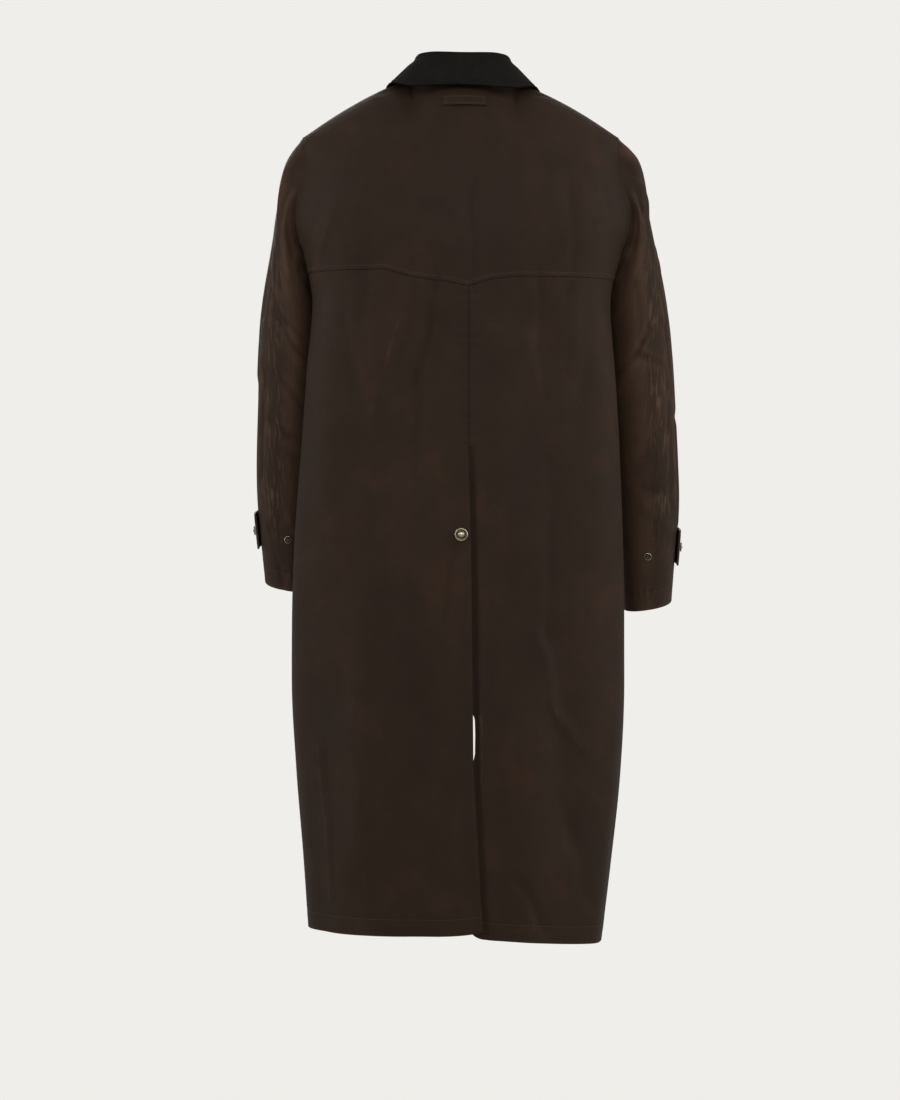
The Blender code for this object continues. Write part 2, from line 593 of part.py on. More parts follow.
def armhole_frame(side, angle):
    """Edge points of the armhole, with the cloth's normal and the way on into the hole."""
    def edge(at):
        q, level = armhole(at)
        return body(side * q, level)
    q, level = armhole(angle)
    points = edge(angle)
    normals = body_normal(side * q, level)
    along = unit(edge(angle + 0.5) - edge(angle - 0.5))
    onward = unit(np.cross(along, normals)) * side
    return points, normals, onward


def sleeve_ring(row, side, angle):
    """One ring through its outer, back, inner and front points: first and second harmonics."""
    ring = {column: SLEEVE[column][row] for column in SLEEVE_COLUMNS}
    turn = np.radians(angle)
    spread = RIGHT_SLEEVE_SPREAD * ring["spread"] if side < 0 else 0.0
    drop = RIGHT_SLEEVE_DROP * ring["spread"] if side < 0 else 0.0
    y = ((ring["back_y"] + ring["front_y"]) / 2.0
         + (ring["back_y"] - ring["front_y"]) / 2.0 * np.sin(turn))
    through = {}
    for axis in ("x", "z"):
        outer, inner = ring["outer_" + axis], ring["inner_" + axis]
        back, front = ring["back_" + axis], ring["front_" + axis]
        through[axis] = ((outer + inner + back + front) / 4.0
                         + (outer - inner) / 2.0 * np.cos(turn)
                         + (back - front) / 2.0 * np.sin(turn)
                         + (outer + inner - back - front) / 4.0 * np.cos(2.0 * turn))
    return np.stack([side * (through["x"] + spread), y, through["z"] - drop], axis=-1)


def sleeve_rings(side, angle):
    """All rings at these angles: the seam, a small turn out of it, then the table's rings."""
    points, normals, onward = armhole_frame(side, angle)
    first = sleeve_ring(0, side, angle)
    away = first - points
    bend = np.arctan2(np.sum(away * normals, axis=-1), np.sum(away * onward, axis=-1))
    rings = [points + onward * SEAM_GAP]
    for share in (0.5, 1.0):
        turned = (bend * share)[..., None]
        arc = (onward * np.sin(np.abs(turned)) + normals * np.sign(turned)
               * (1.0 - np.cos(turned))) * TURN_RADIUS
        heading = onward * np.cos(turned) + normals * np.sin(turned)
        rings.append(points + onward * SEAM_GAP + arc + heading * TURN_STEP * 2.0 * share)
    rings += [sleeve_ring(row, side, angle) for row in range(len(SLEEVE_ROWS))]
    return np.stack(rings)


def sleeve_folds(angle, place):
    """Push in or out by the sleeve's folds, as on the body."""
    push = np.zeros_like(place)
    scale = np.radians(1.0) * SLEEVE_RADIUS
    for number in range(len(SLEEVE_FOLDS)):
        fold = {column: SLEEVE_FOLD[column][number] for column in SLEEVE_FOLD_COLUMNS}
        run = (fold["angle_end"] - fold["angle_start"]) * scale
        climb = (fold["place_end"] - fold["place_start"]) * RING_STEP
        length = math.hypot(run, climb)
        from_angle = (angle - fold["angle_start"]) * scale
        from_place = (place - fold["place_start"]) * RING_STEP
        along = (from_angle * run + from_place * climb) / length
        across = (from_angle * climb - from_place * run) / length
        fade = smooth(along / SLEEVE_FOLD_FADE) * smooth((length - along) / SLEEVE_FOLD_FADE)
        push += fold["depth"] * fade * np.exp(-(across / fold["width"]) ** 2)
    return push


def sleeve(side, angle, place):
    """A point of a sleeve: angle in degrees round it, place in rings from the seam down."""
    angle, place = np.broadcast_arrays(np.asarray(angle, float), np.asarray(place, float))
    rings = sleeve_rings(side, angle)
    steps = np.maximum(np.linalg.norm(np.diff(rings, axis=0), axis=-1, keepdims=True), 1e-6)
    chords = np.diff(rings, axis=0) / steps
    inner = (chords[1:] * steps[:-1] + chords[:-1] * steps[1:]) / (steps[1:] + steps[:-1])
    slopes = np.concatenate([chords[:1], inner, chords[-1:]])
    index = np.clip(np.floor(place).astype(int), 0, len(rings) - 2)
    pick = index[None, ..., None]
    start = np.take_along_axis(rings, pick, axis=0)[0]
    end = np.take_along_axis(rings, pick + 1, axis=0)[0]
    slope_start = np.take_along_axis(slopes, pick, axis=0)[0]
    slope_end = np.take_along_axis(slopes, pick + 1, axis=0)[0]
    step = np.take_along_axis(steps, pick, axis=0)[0]
    share = (place - index)[..., None]
    point = (start * (2 * share ** 3 - 3 * share ** 2 + 1)
             + end * (3 * share ** 2 - 2 * share ** 3)
             + slope_start * step * (share ** 3 - 2 * share ** 2 + share)
             + slope_end * step * (share ** 3 - share ** 2))
    turn = np.radians(angle)[..., None]
    outward = np.concatenate([side * np.cos(turn), np.sin(turn), np.zeros_like(turn)], axis=-1)
    return point + outward * sleeve_folds(np.mod(angle, 360.0), place)[..., None]


def sleeve_normal(side, angle, place):
    """The sleeve's outward normal; at the seam it is the body's own."""
    angle, place = np.broadcast_arrays(np.asarray(angle, float), np.asarray(place, float))
    last = float(len(SLEEVE_ROWS) + 2)
    down = (sleeve(side, angle, np.minimum(place + 0.02, last))
            - sleeve(side, angle, np.maximum(place - 0.02, 0.0)))
    round_arm = sleeve(side, angle + 1.0, place) - sleeve(side, angle - 1.0, place)
    normal = unit(np.cross(round_arm, down)) * -side
    seam_normal = armhole_frame(side, angle)[1]
    share = smooth(1.0 - place)[..., None]
    return unit(normal * (1.0 - share) + seam_normal * share)


def sleeve_places():
    """Places of the sleeve's rows, so many to each stretch between two rings."""
    places = [0.0]
    for stretch, count in enumerate(ROWS_PER_STRETCH):
        places += [stretch + (step + 1) / count for step in range(count)]
    return np.array(places)


def add_sleeves():
    """The two sleeves, as tubes open at the armhole and at the cuff."""
    for side, name in ((1, "sleeve_left"), (-1, "sleeve_right")):
        angle = sleeve_angles(side)[None, :]
        place = sleeve_places()[:, None]
        cloth_wall(name, sleeve(side, angle, place), sleeve_normal(side, angle, place), CLOTH,
                   "waxed_cotton", tube=True)


def collar_station(column, station):
    """A column of the collar table read smoothly at a station, 0 centre back, 4 front end."""
    values = np.array(COLLAR_STATIONS)[:, COLLAR_COLUMNS.index(column)]
    mirror = -1.0 if column.endswith("_x") else 1.0
    padded = np.concatenate([[mirror * values[1]], values, [2.0 * values[-1] - values[-2]]])
    index = np.clip(np.floor(station).astype(int), 0, len(values) - 2)
    share = station - index
    before, start = padded[index], padded[index + 1]
    end, after = padded[index + 2], padded[index + 3]
    return 0.5 * (2.0 * start + (end - before) * share
                  + (2.0 * before - 5.0 * start + 4.0 * end - after) * share ** 2
                  + (3.0 * (start - end) + after - before) * share ** 3)


def collar_path(side, station):
    """The collar's section at each station: up the stand, over the fold, down to the edge."""
    turn = np.where(station <= 2.0, NECK_SHARE * station / 2.0,
                    2.0 - NECK_SHARE * (4.0 - station) / 2.0)
    q = side * turn
    seam = body(q, SHOULDER_LINE)
    normal = body_normal(q, SHOULDER_LINE)
    onward = unit(np.cross(np.gradient(seam, axis=0), normal)) * side
    lower = COLLAR_SIDE_LOWER * np.clip(station / 2.0, 0.0, 1.0) if side < 0 else 0.0
    fold = np.stack([side * collar_station("fold_x", station), collar_station("fold_y", station),
                     collar_station("fold_z", station) - 0.5 * lower], axis=-1)
    edge = np.stack([side * collar_station("edge_x", station), collar_station("edge_y", station),
                     collar_station("edge_z", station) - lower], axis=-1)
    out = unit((edge - fold) * (1.0, 1.0, 0.0))
    up = np.array((0.0, 0.0, 1.0))
    start = seam + onward * (COLLAR_WALL / 2.0 + SEAM_GAP)
    stand_top = fold - out * COLLAR_TURN - up * COLLAR_TURN * 1.3
    fall_top = fold + out * COLLAR_TURN - up * COLLAR_TURN * 1.1
    bulge = (out * 0.4 + up * 0.9) * COLLAR_BULGE
    return np.stack([start, start * 0.5 + stand_top * 0.5, stand_top,
                     fold - out * COLLAR_TURN * 0.6 - up * COLLAR_TURN * 0.25,
                     fold + out * COLLAR_TURN * 0.5,
                     fall_top, fall_top * 0.67 + edge * 0.33 + bulge,
                     fall_top * 0.33 + edge * 0.67 + bulge, edge])


def add_collar():
    """The turned-down collar in one strip from front end to front end."""
    half = np.linspace(0.0, 2.0, NECK_STEPS + 1)
    station = np.concatenate([half, half[1:] + 2.0])
    left = collar_path(1, station)
    right = collar_path(-1, station)
    points = np.concatenate([right[:, :0:-1], left], axis=1)
    across = np.gradient(points, axis=0)
    along = np.gradient(points, axis=1)
    normals = unit(np.cross(across, along))
    cloth_wall("collar", points, normals, COLLAR_WALL, "corded_collar")


def add_locker_loop():
    """A short strap on the yoke under the collar, made from the yoke's points moved out."""
    x = np.linspace(LOOP_RIGHT, LOOP_LEFT, 9)
    x, level = np.meshgrid(x, np.linspace(LOOP_LEVELS[0], LOOP_LEVELS[1], 3))
    q = q_at(x, level)
    share = np.linspace(0.0, 1.0, 9)
    clear = (CLOTH + LOOP_WALL) / 2.0 + SEAM_GAP * 2.0 + LOOP_ARCH * np.sin(PI * share) ** 2
    normals = body_normal(q, level)
    points = body(q, level) + normals * clear[None, :, None]
    cloth_wall("locker_loop", points, normals, LOOP_WALL, "waxed_cotton")


def tab_clear(angle):
    """How far the tab's middle stands off the sleeve: flat at first, then lifting."""
    share = (angle - TAB_START) / (TAB_END - TAB_START)
    return TAB_CLEAR + TAB_LIFT * smooth((share - TAB_FLAT_SHARE) / (1.0 - TAB_FLAT_SHARE))


def add_cuff_tabs():
    """A strap round the outer side of each cuff, standing off at its snapped end."""
    angle = np.linspace(TAB_START, TAB_END, 9)
    for side, name in ((1, "cuff_tab_left"), (-1, "cuff_tab_right")):
        before, after = math.floor(TAB_PLACE), math.floor(TAB_PLACE) + 1.0
        reach = TAB_HALF_WIDTH / np.linalg.norm(sleeve(side, 0.0, after) - sleeve(side, 0.0, before))
        place = TAB_PLACE + np.linspace(-reach, reach, 4)[:, None]
        normals = sleeve_normal(side, angle[None, :], place)
        points = sleeve(side, angle[None, :], place) + normals * tab_clear(angle)[None, :, None]
        cloth_wall(name, points, normals, TAB_WALL, "waxed_cotton")


def turned_piece(name, profile, point, normal, steps=10):
    """A small turned piece from rings of (radius, height), set on a point along a normal."""
    vertices = [(0.0, 0.0, 0.0)]
    for radius, height in profile:
        for step in range(steps):
            turn = 2.0 * PI * step / steps
            vertices.append((radius * math.cos(turn), radius * math.sin(turn), height))
    vertices.append((0.0, 0.0, profile[-1][1]))
    faces = []
    for step in range(steps):
        after = (step + 1) % steps
        faces.append((0, 1 + after, 1 + step))
        for ring in range(len(profile) - 1):
            a, b = 1 + ring * steps + step, 1 + ring * steps + after
            faces += [(a, b, b + steps), (a, b + steps, a + steps)]
        last = 1 + (len(profile) - 1) * steps
        faces.append((len(vertices) - 1, last + step, last + after))
    normal = unit(np.asarray(normal))
    across = unit(np.cross(normal, (0.0, 0.0, 1.0)))
    frame = np.stack([across, np.cross(normal, across), normal], axis=1)
    placed = np.array(vertices) @ frame.T + np.asarray(point)
    return add_object(name, placed, faces, "snap_metal")


def snap_cap(name, point, normal, radius, carrier):
    """A press-snap cap: a flat base, a rolled rim and a low dome, clear of its carrier."""
    profile = ((radius, 0.0), (radius, radius * 0.18), (radius * 0.62, radius * 0.36))
    turned_piece(name, profile, point + normal * (carrier / 2.0 + SNAP_CLEAR), normal)


def snap_stud(name, point, normal, carrier):
    """A press-snap stud: a flat flange with a post."""
    profile = ((STUD_RADIUS, 0.0), (STUD_RADIUS, 0.0012), (0.0024, 0.0014), (0.0024, 0.0036))
    turned_piece(name, profile, point + normal * (carrier / 2.0 + SNAP_CLEAR), normal)


def add_snaps():
    """The vent snap, the cuff snaps and studs, and the row down the fronts."""
    q = q_at(VENT_SNAP_X, VENT_SNAP_LEVEL)
    snap_cap("vent_snap", body(q, VENT_SNAP_LEVEL), body_normal(q, VENT_SNAP_LEVEL),
             VENT_SNAP_RADIUS, CLOTH)
    for side, hand in ((1, "left"), (-1, "right")):
        normal = sleeve_normal(side, CUFF_SNAP_ANGLE, TAB_PLACE)
        lift = tab_clear(CUFF_SNAP_ANGLE) + TAB_BOW
        point = sleeve(side, CUFF_SNAP_ANGLE, TAB_PLACE) + normal * lift
        snap_cap("cuff_snap_" + hand, point, normal, SNAP_RADIUS, TAB_WALL)
        stud_place = TAB_PLACE + CUFF_STUD_DROP
        snap_stud("cuff_stud_" + hand, sleeve(side, CUFF_STUD_ANGLE, stud_place),
                  sleeve_normal(side, CUFF_STUD_ANGLE, stud_place), CLOTH)
    for number, level in enumerate(FRONT_SNAP_LEVELS, start=1):
        snap_cap("front_snap_%d" % number, body(FRONT_SNAP_Q, level),
                 body_normal(FRONT_SNAP_Q, level), SNAP_RADIUS, CLOTH)
        snap_stud("front_stud_%d" % number, body(-FRONT_SNAP_Q, level),
                  body_normal(-FRONT_SNAP_Q, level), CLOTH)


clear_scene()
add_yoke()
add_back_panels()
add_fronts()
add_sleeves()
add_collar()
add_locker_loop()
add_cuff_tabs()
add_snaps()
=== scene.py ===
"""Looks for a long waxed-cotton duster coat, worn and seen from the back.

Each section makes one piece or group of the coat: its sizes, form, cloth and
sewing stand together. Metres, +Z up, the back faces +Y, the wearer's left is +X.
"""

import math

import bpy
import numpy as np
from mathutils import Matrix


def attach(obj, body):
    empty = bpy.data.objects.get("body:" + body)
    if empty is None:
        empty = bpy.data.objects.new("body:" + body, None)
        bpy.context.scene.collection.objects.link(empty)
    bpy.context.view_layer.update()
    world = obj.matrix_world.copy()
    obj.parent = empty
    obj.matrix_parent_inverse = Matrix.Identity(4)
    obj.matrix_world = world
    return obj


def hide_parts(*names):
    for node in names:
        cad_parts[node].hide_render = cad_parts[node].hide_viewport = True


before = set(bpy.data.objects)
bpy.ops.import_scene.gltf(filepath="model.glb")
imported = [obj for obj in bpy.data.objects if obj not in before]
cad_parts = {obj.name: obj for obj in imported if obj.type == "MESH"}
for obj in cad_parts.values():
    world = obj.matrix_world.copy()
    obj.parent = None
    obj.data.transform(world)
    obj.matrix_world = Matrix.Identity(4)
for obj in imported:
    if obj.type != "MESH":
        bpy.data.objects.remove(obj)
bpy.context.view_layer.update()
PI = math.pi

# Camera, floor and lights
# A level camera stands behind the coat, as in the photograph. A pale floor curves up into
# walls all round and is evenly lit, with large lamps behind and before the coat and at its sides.
CAMERA_PLACE = (0.0192, 4.5, -0.683)
CAMERA_ANGLE = 20.5
FLOOR_HEIGHT = -1.55
FLOOR_COLUMNS = 96
CORNER_ROWS = 12
FLOOR_RADIUS = 6.5
WALL_RADIUS = 8.5
WALL_TOP = 6.0
PALE = (0.871, 0.855, 0.823, 1.0)
SKY = (1.0, 0.985, 0.955, 1.0)
SKY_STRENGTH = 0.46
# name, place, aimed at, width, height, power in watts
LAMPS = (
    ("lamp_above", (-0.5, 4.2, 1.6), (0.0, 0.0, -0.6), 3.2, 2.4, 100.0),
    ("lamp_front", (0.4, -4.2, 1.4), (0.0, 0.0, -0.6), 3.2, 2.4, 90.0),
    ("lamp_left", (2.9, 0.7, 0.4), (0.2, 0.0, -0.5), 0.9, 2.6, 52.0),
    ("lamp_right", (-2.9, 0.7, 0.4), (-0.2, 0.0, -0.5), 0.9, 2.6, 56.0),
)

camera_data = bpy.data.cameras.new("camera")
camera_data.sensor_fit = "AUTO"
camera_data.angle = math.radians(CAMERA_ANGLE)
camera = bpy.data.objects.new("camera", camera_data)
camera.location = CAMERA_PLACE
camera.rotation_euler = (PI / 2.0, 0.0, PI)
bpy.context.scene.collection.objects.link(camera)
bpy.context.scene.camera = camera
bpy.context.scene.view_settings.view_transform = "Standard"


def joined(grid, closed):
    """A grid with its first column again at its end, if it closes on itself."""
    return np.concatenate([grid, grid[:, :1]], axis=1) if closed else grid


def quads(rows, columns, closed=False):
    """Corner numbers of the faces of a grid of points, row after row."""
    number = joined(np.arange(rows * columns).reshape(rows, columns), closed)
    corners = (number[:-1, :-1], number[:-1, 1:], number[1:, 1:], number[1:, :-1])
    return np.stack(corners, axis=-1).reshape(-1, 4)


def mesh_object(name, points, faces):
    """A smooth mesh object from whole arrays of points and four-cornered faces."""
    mesh = bpy.data.meshes.new(name)
    mesh.from_pydata(np.asarray(points, float).tolist(), [], np.asarray(faces).tolist())
    mesh.polygons.foreach_set("use_smooth", np.ones(len(mesh.polygons), bool))
    item = bpy.data.objects.new(name, mesh)
    bpy.context.scene.collection.objects.link(item)
    return item


turn = np.linspace(0.0, 2.0 * PI, FLOOR_COLUMNS, endpoint=False)
bend = np.linspace(0.0, PI / 2.0, CORNER_ROWS)
corner = WALL_RADIUS - FLOOR_RADIUS
profile = np.concatenate([
    [[0.0001, FLOOR_HEIGHT], [FLOOR_RADIUS / 2.0, FLOOR_HEIGHT]],
    np.stack([FLOOR_RADIUS + corner * np.sin(bend), FLOOR_HEIGHT + corner * (1.0 - np.cos(bend))], axis=1),
    [[WALL_RADIUS, WALL_TOP]],
])
radius, height = profile[:, 0][:, None], profile[:, 1][:, None]
points = np.stack([radius * np.cos(turn), radius * np.sin(turn), height + 0.0 * turn], axis=-1)
floor = mesh_object("floor", points.reshape(-1, 3), quads(len(profile), len(turn), closed=True))
floor.visible_shadow = False
floor.visible_diffuse = False
floor.visible_glossy = False
floor_paint = bpy.data.materials.new("pale_floor")
floor_paint.use_nodes = True
floor_shader = floor_paint.node_tree.nodes["Principled BSDF"]
floor_shader.inputs["Base Color"].default_value = (0.0, 0.0, 0.0, 1.0)
floor_shader.inputs["Emission Color"].default_value = PALE
floor_shader.inputs["Emission Strength"].default_value = 1.0
floor_shader.inputs["Roughness"].default_value = 1.0
floor_shader.inputs["Specular IOR Level"].default_value = 0.0
floor.data.materials.append(floor_paint)

world = bpy.data.worlds.new("studio")
bpy.context.scene.world = world
world.use_nodes = True
world.node_tree.nodes["Background"].inputs["Color"].default_value = SKY
world.node_tree.nodes["Background"].inputs["Strength"].default_value = SKY_STRENGTH
for name, place, aim, width, height, power in LAMPS:
    lamp_data = bpy.data.lights.new(name, "AREA")
    lamp_data.shape = "RECTANGLE"
    lamp_data.size = width
    lamp_data.size_y = height
    lamp_data.energy = power
    lamp_data.color = SKY[:3]
    lamp = bpy.data.objects.new(name, lamp_data)
    away = np.array(place) - np.array(aim)
    lamp.location = place
    lamp.rotation_euler = (math.acos(away[2] / np.linalg.norm(away)), 0.0,
                           math.atan2(away[1], away[0]) + PI / 2.0)
    bpy.context.scene.collection.objects.link(lamp)

# Lower back panels
# Two panels of dark brown waxed cotton, joined by a lapped seam at the centre back. Below the
# seam the left panel lies over the right one as a long vent. The hems are stitched.
CLOTH = 0.0018
# Levels run up the cloth in metres from the hem, 0, past the armpit to the shoulder line
ARMPIT = 0.925
ARMPIT_HEIGHT = -0.311
SHOULDER_LINE = 1.260
# Girth lines: level and height, half widths left and right, depths back and front, squareness, how
# much the front narrows, the arm's hollow and its y, half the front opening, drop at the sides
GIRTH_COLUMNS = ("level", "height", "left", "right", "back", "front", "power",
                 "taper", "nest", "nest_y", "opening", "side_drop")
GIRTH_ROWS = (
    (0.000, -1.237, 0.2280, 0.2035, 0.170, 0.150, 2.3, 0.02, 0.000, -0.05, 0.052, 0.010),
    (0.100, -1.136, 0.2350, 0.2165, 0.171, 0.150, 2.3, 0.02, 0.000, -0.05, 0.050, 0.006),
    (0.230, -1.006, 0.2455, 0.2310, 0.170, 0.148, 2.3, 0.03, 0.000, -0.05, 0.044, 0.002),
    (0.360, -0.876, 0.2510, 0.2360, 0.168, 0.146, 2.4, 0.04, 0.010, -0.06, 0.037, 0.000),
    (0.480, -0.756, 0.2490, 0.2345, 0.166, 0.143, 2.5, 0.05, 0.038, -0.05, 0.031, 0.000),
    (0.600, -0.636, 0.2430, 0.2310, 0.163, 0.140, 2.7, 0.07, 0.050, -0.04, 0.028, 0.000),
    (0.710, -0.526, 0.2340, 0.2260, 0.159, 0.138, 2.9, 0.09, 0.054, -0.03, 0.026, 0.000),
    (0.820, -0.416, 0.2260, 0.2190, 0.156, 0.138, 3.0, 0.10, 0.058, -0.03, 0.026, 0.000),
    (ARMPIT, ARMPIT_HEIGHT, 0.2190, 0.2145, 0.157, 0.138, 3.0, 0.10, 0.040, -0.03, 0.027, 0.000),
    (1.028, -0.208, 0.2500, 0.2490, 0.158, 0.134, 2.8, 0.10, 0.000, -0.03, 0.030, 0.000),
    (1.150, -0.095, 0.2390, 0.2350, 0.128, 0.106, 2.4, 0.05, 0.000, -0.03, 0.038, 0.030),
)
GIRTH = dict(zip(GIRTH_COLUMNS, np.array(GIRTH_ROWS).T))
NEST_WIDTH = 0.080
# The hem rises to the wearer's left by this slope, which fades out up to this level
HEM_LEAN = 0.045
LEAN_REACH = 0.45
# Neck edge and shoulder tip on the wearer's left: x, y, z; the right ones are a little lower and in
NECK_BACK = (0.000, 0.073, -0.004)
NECK_SIDE = (0.075, 0.003, 0.014)
NECK_FRONT = (0.046, -0.080, -0.060)
SHOULDER_TIP = (0.2375, -0.005, -0.0755)
RIGHT_TIP_INWARD = 0.007
RIGHT_NECK_LOWER = 0.006
SHOULDER_RISE = 0.0078
# The neck's share of q at either end, and how the cloth turns over the tip and up at the neck
NECK_SHARE = 0.35
TIP_ROUNDING = 0.14
NECK_ARRIVAL = (0.30, 0.55, 0.75)
NECK_BLEND = (0.16, 0.22)
NECK_NORMAL_SIDE = 0.46
NECK_NORMAL_BACK = 0.80
NECK_NORMAL_FRONT = (0.20, -0.90)
NECK_NORMAL_UP = 0.75
NEAR_TIP = (0.02, 0.03)
# Armhole: an upright oval in q and level, wider at the front, a little low at its middle
ARMHOLE_BACK = 0.18
ARMHOLE_FRONT = 0.26
ARMHOLE_SAG = 0.05
ARMHOLE_MIDDLE = (SHOULDER_LINE + ARMPIT) / 2.0
ARMHOLE_HALF = (SHOULDER_LINE - ARMPIT) / 2.0
# Centre seam's x, and the yoke seam's x and height from the wearer's right to the left
SEAM_X = -0.0065
YOKE_SEAM = ((-0.300, -0.2915), (-0.078, -0.2915), (-0.039, -0.2955), (-0.0065, -0.3055),
             (0.020, -0.2995), (0.076, -0.2915), (0.112, -0.2812), (0.300, -0.2812))
YOKE_LEVEL_LEFT = YOKE_SEAM[-1][1] - ARMPIT_HEIGHT + ARMPIT
YOKE_LEVEL_RIGHT = YOKE_SEAM[0][1] - ARMPIT_HEIGHT + ARMPIT
# The vent: x of the upper panel's edge and of the under one's, and how far the under one sinks
VENT_TOP = 0.700
VENT_COLUMNS = ("level", "upper_edge", "under_edge", "dip")
VENT_ROWS = (
    (0.000, -0.0280, -0.0080, 0.0045),
    (0.060, -0.0245, -0.0085, 0.0045),
    (0.130, -0.0210, -0.0095, 0.0045),
    (0.200, -0.0165, -0.0105, 0.0050),
    (0.245, -0.0142, -0.0125, 0.0050),
    (0.262, -0.0140, -0.0164, 0.0050),
    (0.290, -0.0138, -0.0168, 0.0050),
    (0.312, -0.0136, -0.0162, 0.0050),
    (0.322, -0.0135, -0.0120, 0.0050),
    (0.370, -0.0130, -0.0030, 0.0050),
    (0.430, -0.0124, 0.0040, 0.0050),
    (0.540, -0.0112, 0.0130, 0.0050),
    (0.630, -0.0090, 0.0120, 0.0045),
    (0.675, -0.0078, 0.0020, 0.0032),
    (0.690, -0.0070, -0.0045, 0.0022),
    (0.700, -0.0065, -0.0063, 0.0002),
)
VENT = dict(zip(VENT_COLUMNS, np.array(VENT_ROWS).T))
UNDERLAP_WIDTH = 0.013
UNDERLAP_EASE = 0.010
VENT_CORNER_LIFT = 0.011
VENT_CORNER_REACH = 0.035
# Width and height of the under panel's rounded hem corner
ROUND_CORNER = (0.022, 0.018)
# Large folds, as on the solids: q is quarters of the girth from the centre back, + on the left;
# q and level of the start and of the end, width, depth
BODY_FOLDS = (
    (0.10, 0.915, 0.33, 0.620, 0.022, -0.0050),
    (0.31, 0.920, 0.53, 0.700, 0.020, 0.0040),
    (0.64, 0.860, 0.58, 0.480, 0.022, 0.0045),
    (0.42, 0.560, 0.50, 0.060, 0.024, 0.0055),
    (0.66, 0.420, 0.74, 0.000, 0.026, -0.0060),
    (0.20, 0.420, 0.24, 0.000, 0.026, -0.0050),
    (-0.20, 0.900, -0.26, 0.500, 0.024, 0.0040),
    (-0.38, 0.930, -0.44, 0.780, 0.020, -0.0050),
    (-0.66, 0.850, -0.60, 0.500, 0.022, 0.0045),
    (-0.46, 0.470, -0.54, 0.100, 0.022, -0.0065),
    (-0.30, 0.380, -0.33, 0.000, 0.026, 0.0050),
    (-0.76, 0.400, -0.72, 0.000, 0.026, 0.0060),
    (0.24, 1.080, 0.05, 0.985, 0.020, -0.0030),
    (-0.02, 1.120, -0.04, 0.980, 0.012, -0.0030),
    (1.20, 0.380, 1.14, 0.000, 0.028, -0.0060),
    (1.36, 0.800, 1.42, 0.100, 0.028, 0.0055),
    (1.62, 0.900, 1.60, 0.000, 0.028, -0.0050),
    (1.82, 0.620, 1.84, 0.000, 0.024, 0.0045),
    (-1.16, 0.360, -1.20, 0.000, 0.028, 0.0060),
    (-1.40, 0.780, -1.34, 0.080, 0.028, -0.0055),
    (-1.66, 0.880, -1.70, 0.000, 0.028, 0.0050),
)
# Metres for one step of q along a fold, and how folds fade at their ends and up from the hem
QUARTER_GIRTH = 0.27
FOLD_FADE = 0.06
HEM_FOLD_FADE = 0.12
# Small creases: face (1 back, -1 front), x and height of the start and of the end, width, depth
CREASE_ROWS = (
    (1, -0.014, -0.155, -0.013, -0.292, 0.0050, -0.0012),
    (1, 0.050, -0.200, 0.142, -0.285, 0.0140, -0.0022),
    (1, -0.155, -0.170, -0.158, -0.275, 0.0090, -0.0018),
    (1, 0.205, -0.190, 0.232, -0.245, 0.0060, -0.0022),
    (1, 0.196, -0.215, 0.214, -0.285, 0.0070, 0.0020),
    (1, -0.208, -0.175, -0.228, -0.240, 0.0070, -0.0020),
    (1, 0.142, -0.300, 0.146, -0.350, 0.0090, -0.0022),
    (1, 0.040, -0.312, 0.072, -0.440, 0.0080, -0.0028),
    (1, 0.072, -0.440, 0.070, -0.560, 0.0100, -0.0020),
    (1, 0.084, -0.318, 0.104, -0.400, 0.0080, 0.0024),
    (1, 0.104, -0.400, 0.140, -0.520, 0.0090, 0.0020),
    (1, -0.108, -0.300, -0.117, -0.455, 0.0090, -0.0020),
    (1, -0.096, -0.310, -0.103, -0.430, 0.0080, 0.0009),
    (1, -0.152, -0.315, -0.154, -0.430, 0.0080, -0.0018),
    (1, 0.014, -0.690, 0.030, -0.775, 0.0100, -0.0024),
    (1, -0.128, -0.560, -0.122, -0.800, 0.0090, -0.0026),
    (1, -0.112, -0.815, -0.138, -0.915, 0.0080, 0.0022),
    (1, -0.138, -0.915, -0.166, -0.960, 0.0070, 0.0022),
    (1, 0.215, -0.975, 0.198, -1.180, 0.0070, 0.0028),
    (1, 0.206, -0.985, 0.190, -1.180, 0.0050, -0.0022),
    (1, -0.082, -1.165, -0.108, -1.215, 0.0070, -0.0024),
    (1, -0.150, -1.050, -0.180, -1.190, 0.0080, -0.0020),
    (1, 0.118, -0.700, 0.128, -0.900, 0.0110, -0.0018),
    (1, 0.160, -0.880, 0.150, -1.100, 0.0110, 0.0018),
    (1, 0.060, -0.900, 0.040, -1.150, 0.0120, -0.0016),
    (1, -0.060, -0.620, -0.050, -0.900, 0.0110, 0.0014),
    (1, 0.175, -0.330, 0.150, -0.470, 0.0100, -0.0022),
    (1, -0.180, -0.340, -0.165, -0.500, 0.0100, -0.0020),
    (-1, 0.120, -0.330, 0.150, -0.520, 0.0110, -0.0024),
    (-1, -0.125, -0.325, -0.140, -0.500, 0.0110, -0.0022),
    (-1, 0.170, -0.300, 0.110, -0.360, 0.0090, 0.0022),
    (-1, -0.170, -0.300, -0.115, -0.350, 0.0090, 0.0022),
    (-1, 0.090, -0.480, 0.100, -0.760, 0.0110, 0.0020),
    (-1, -0.085, -0.520, -0.095, -0.790, 0.0120, -0.0020),
    (-1, 0.150, -0.760, 0.160, -1.100, 0.0120, -0.0024),
    (-1, -0.150, -0.800, -0.155, -1.120, 0.0120, 0.0024),
    (-1, 0.080, -0.950, 0.090, -1.230, 0.0110, -0.0018),
    (-1, -0.090, -0.930, -0.085, -1.230, 0.0110, 0.0018),
    (-1, 0.150, -0.120, 0.185, -0.230, 0.0100, -0.0022),
    (-1, -0.150, -0.120, -0.185, -0.230, 0.0100, -0.0020),
)
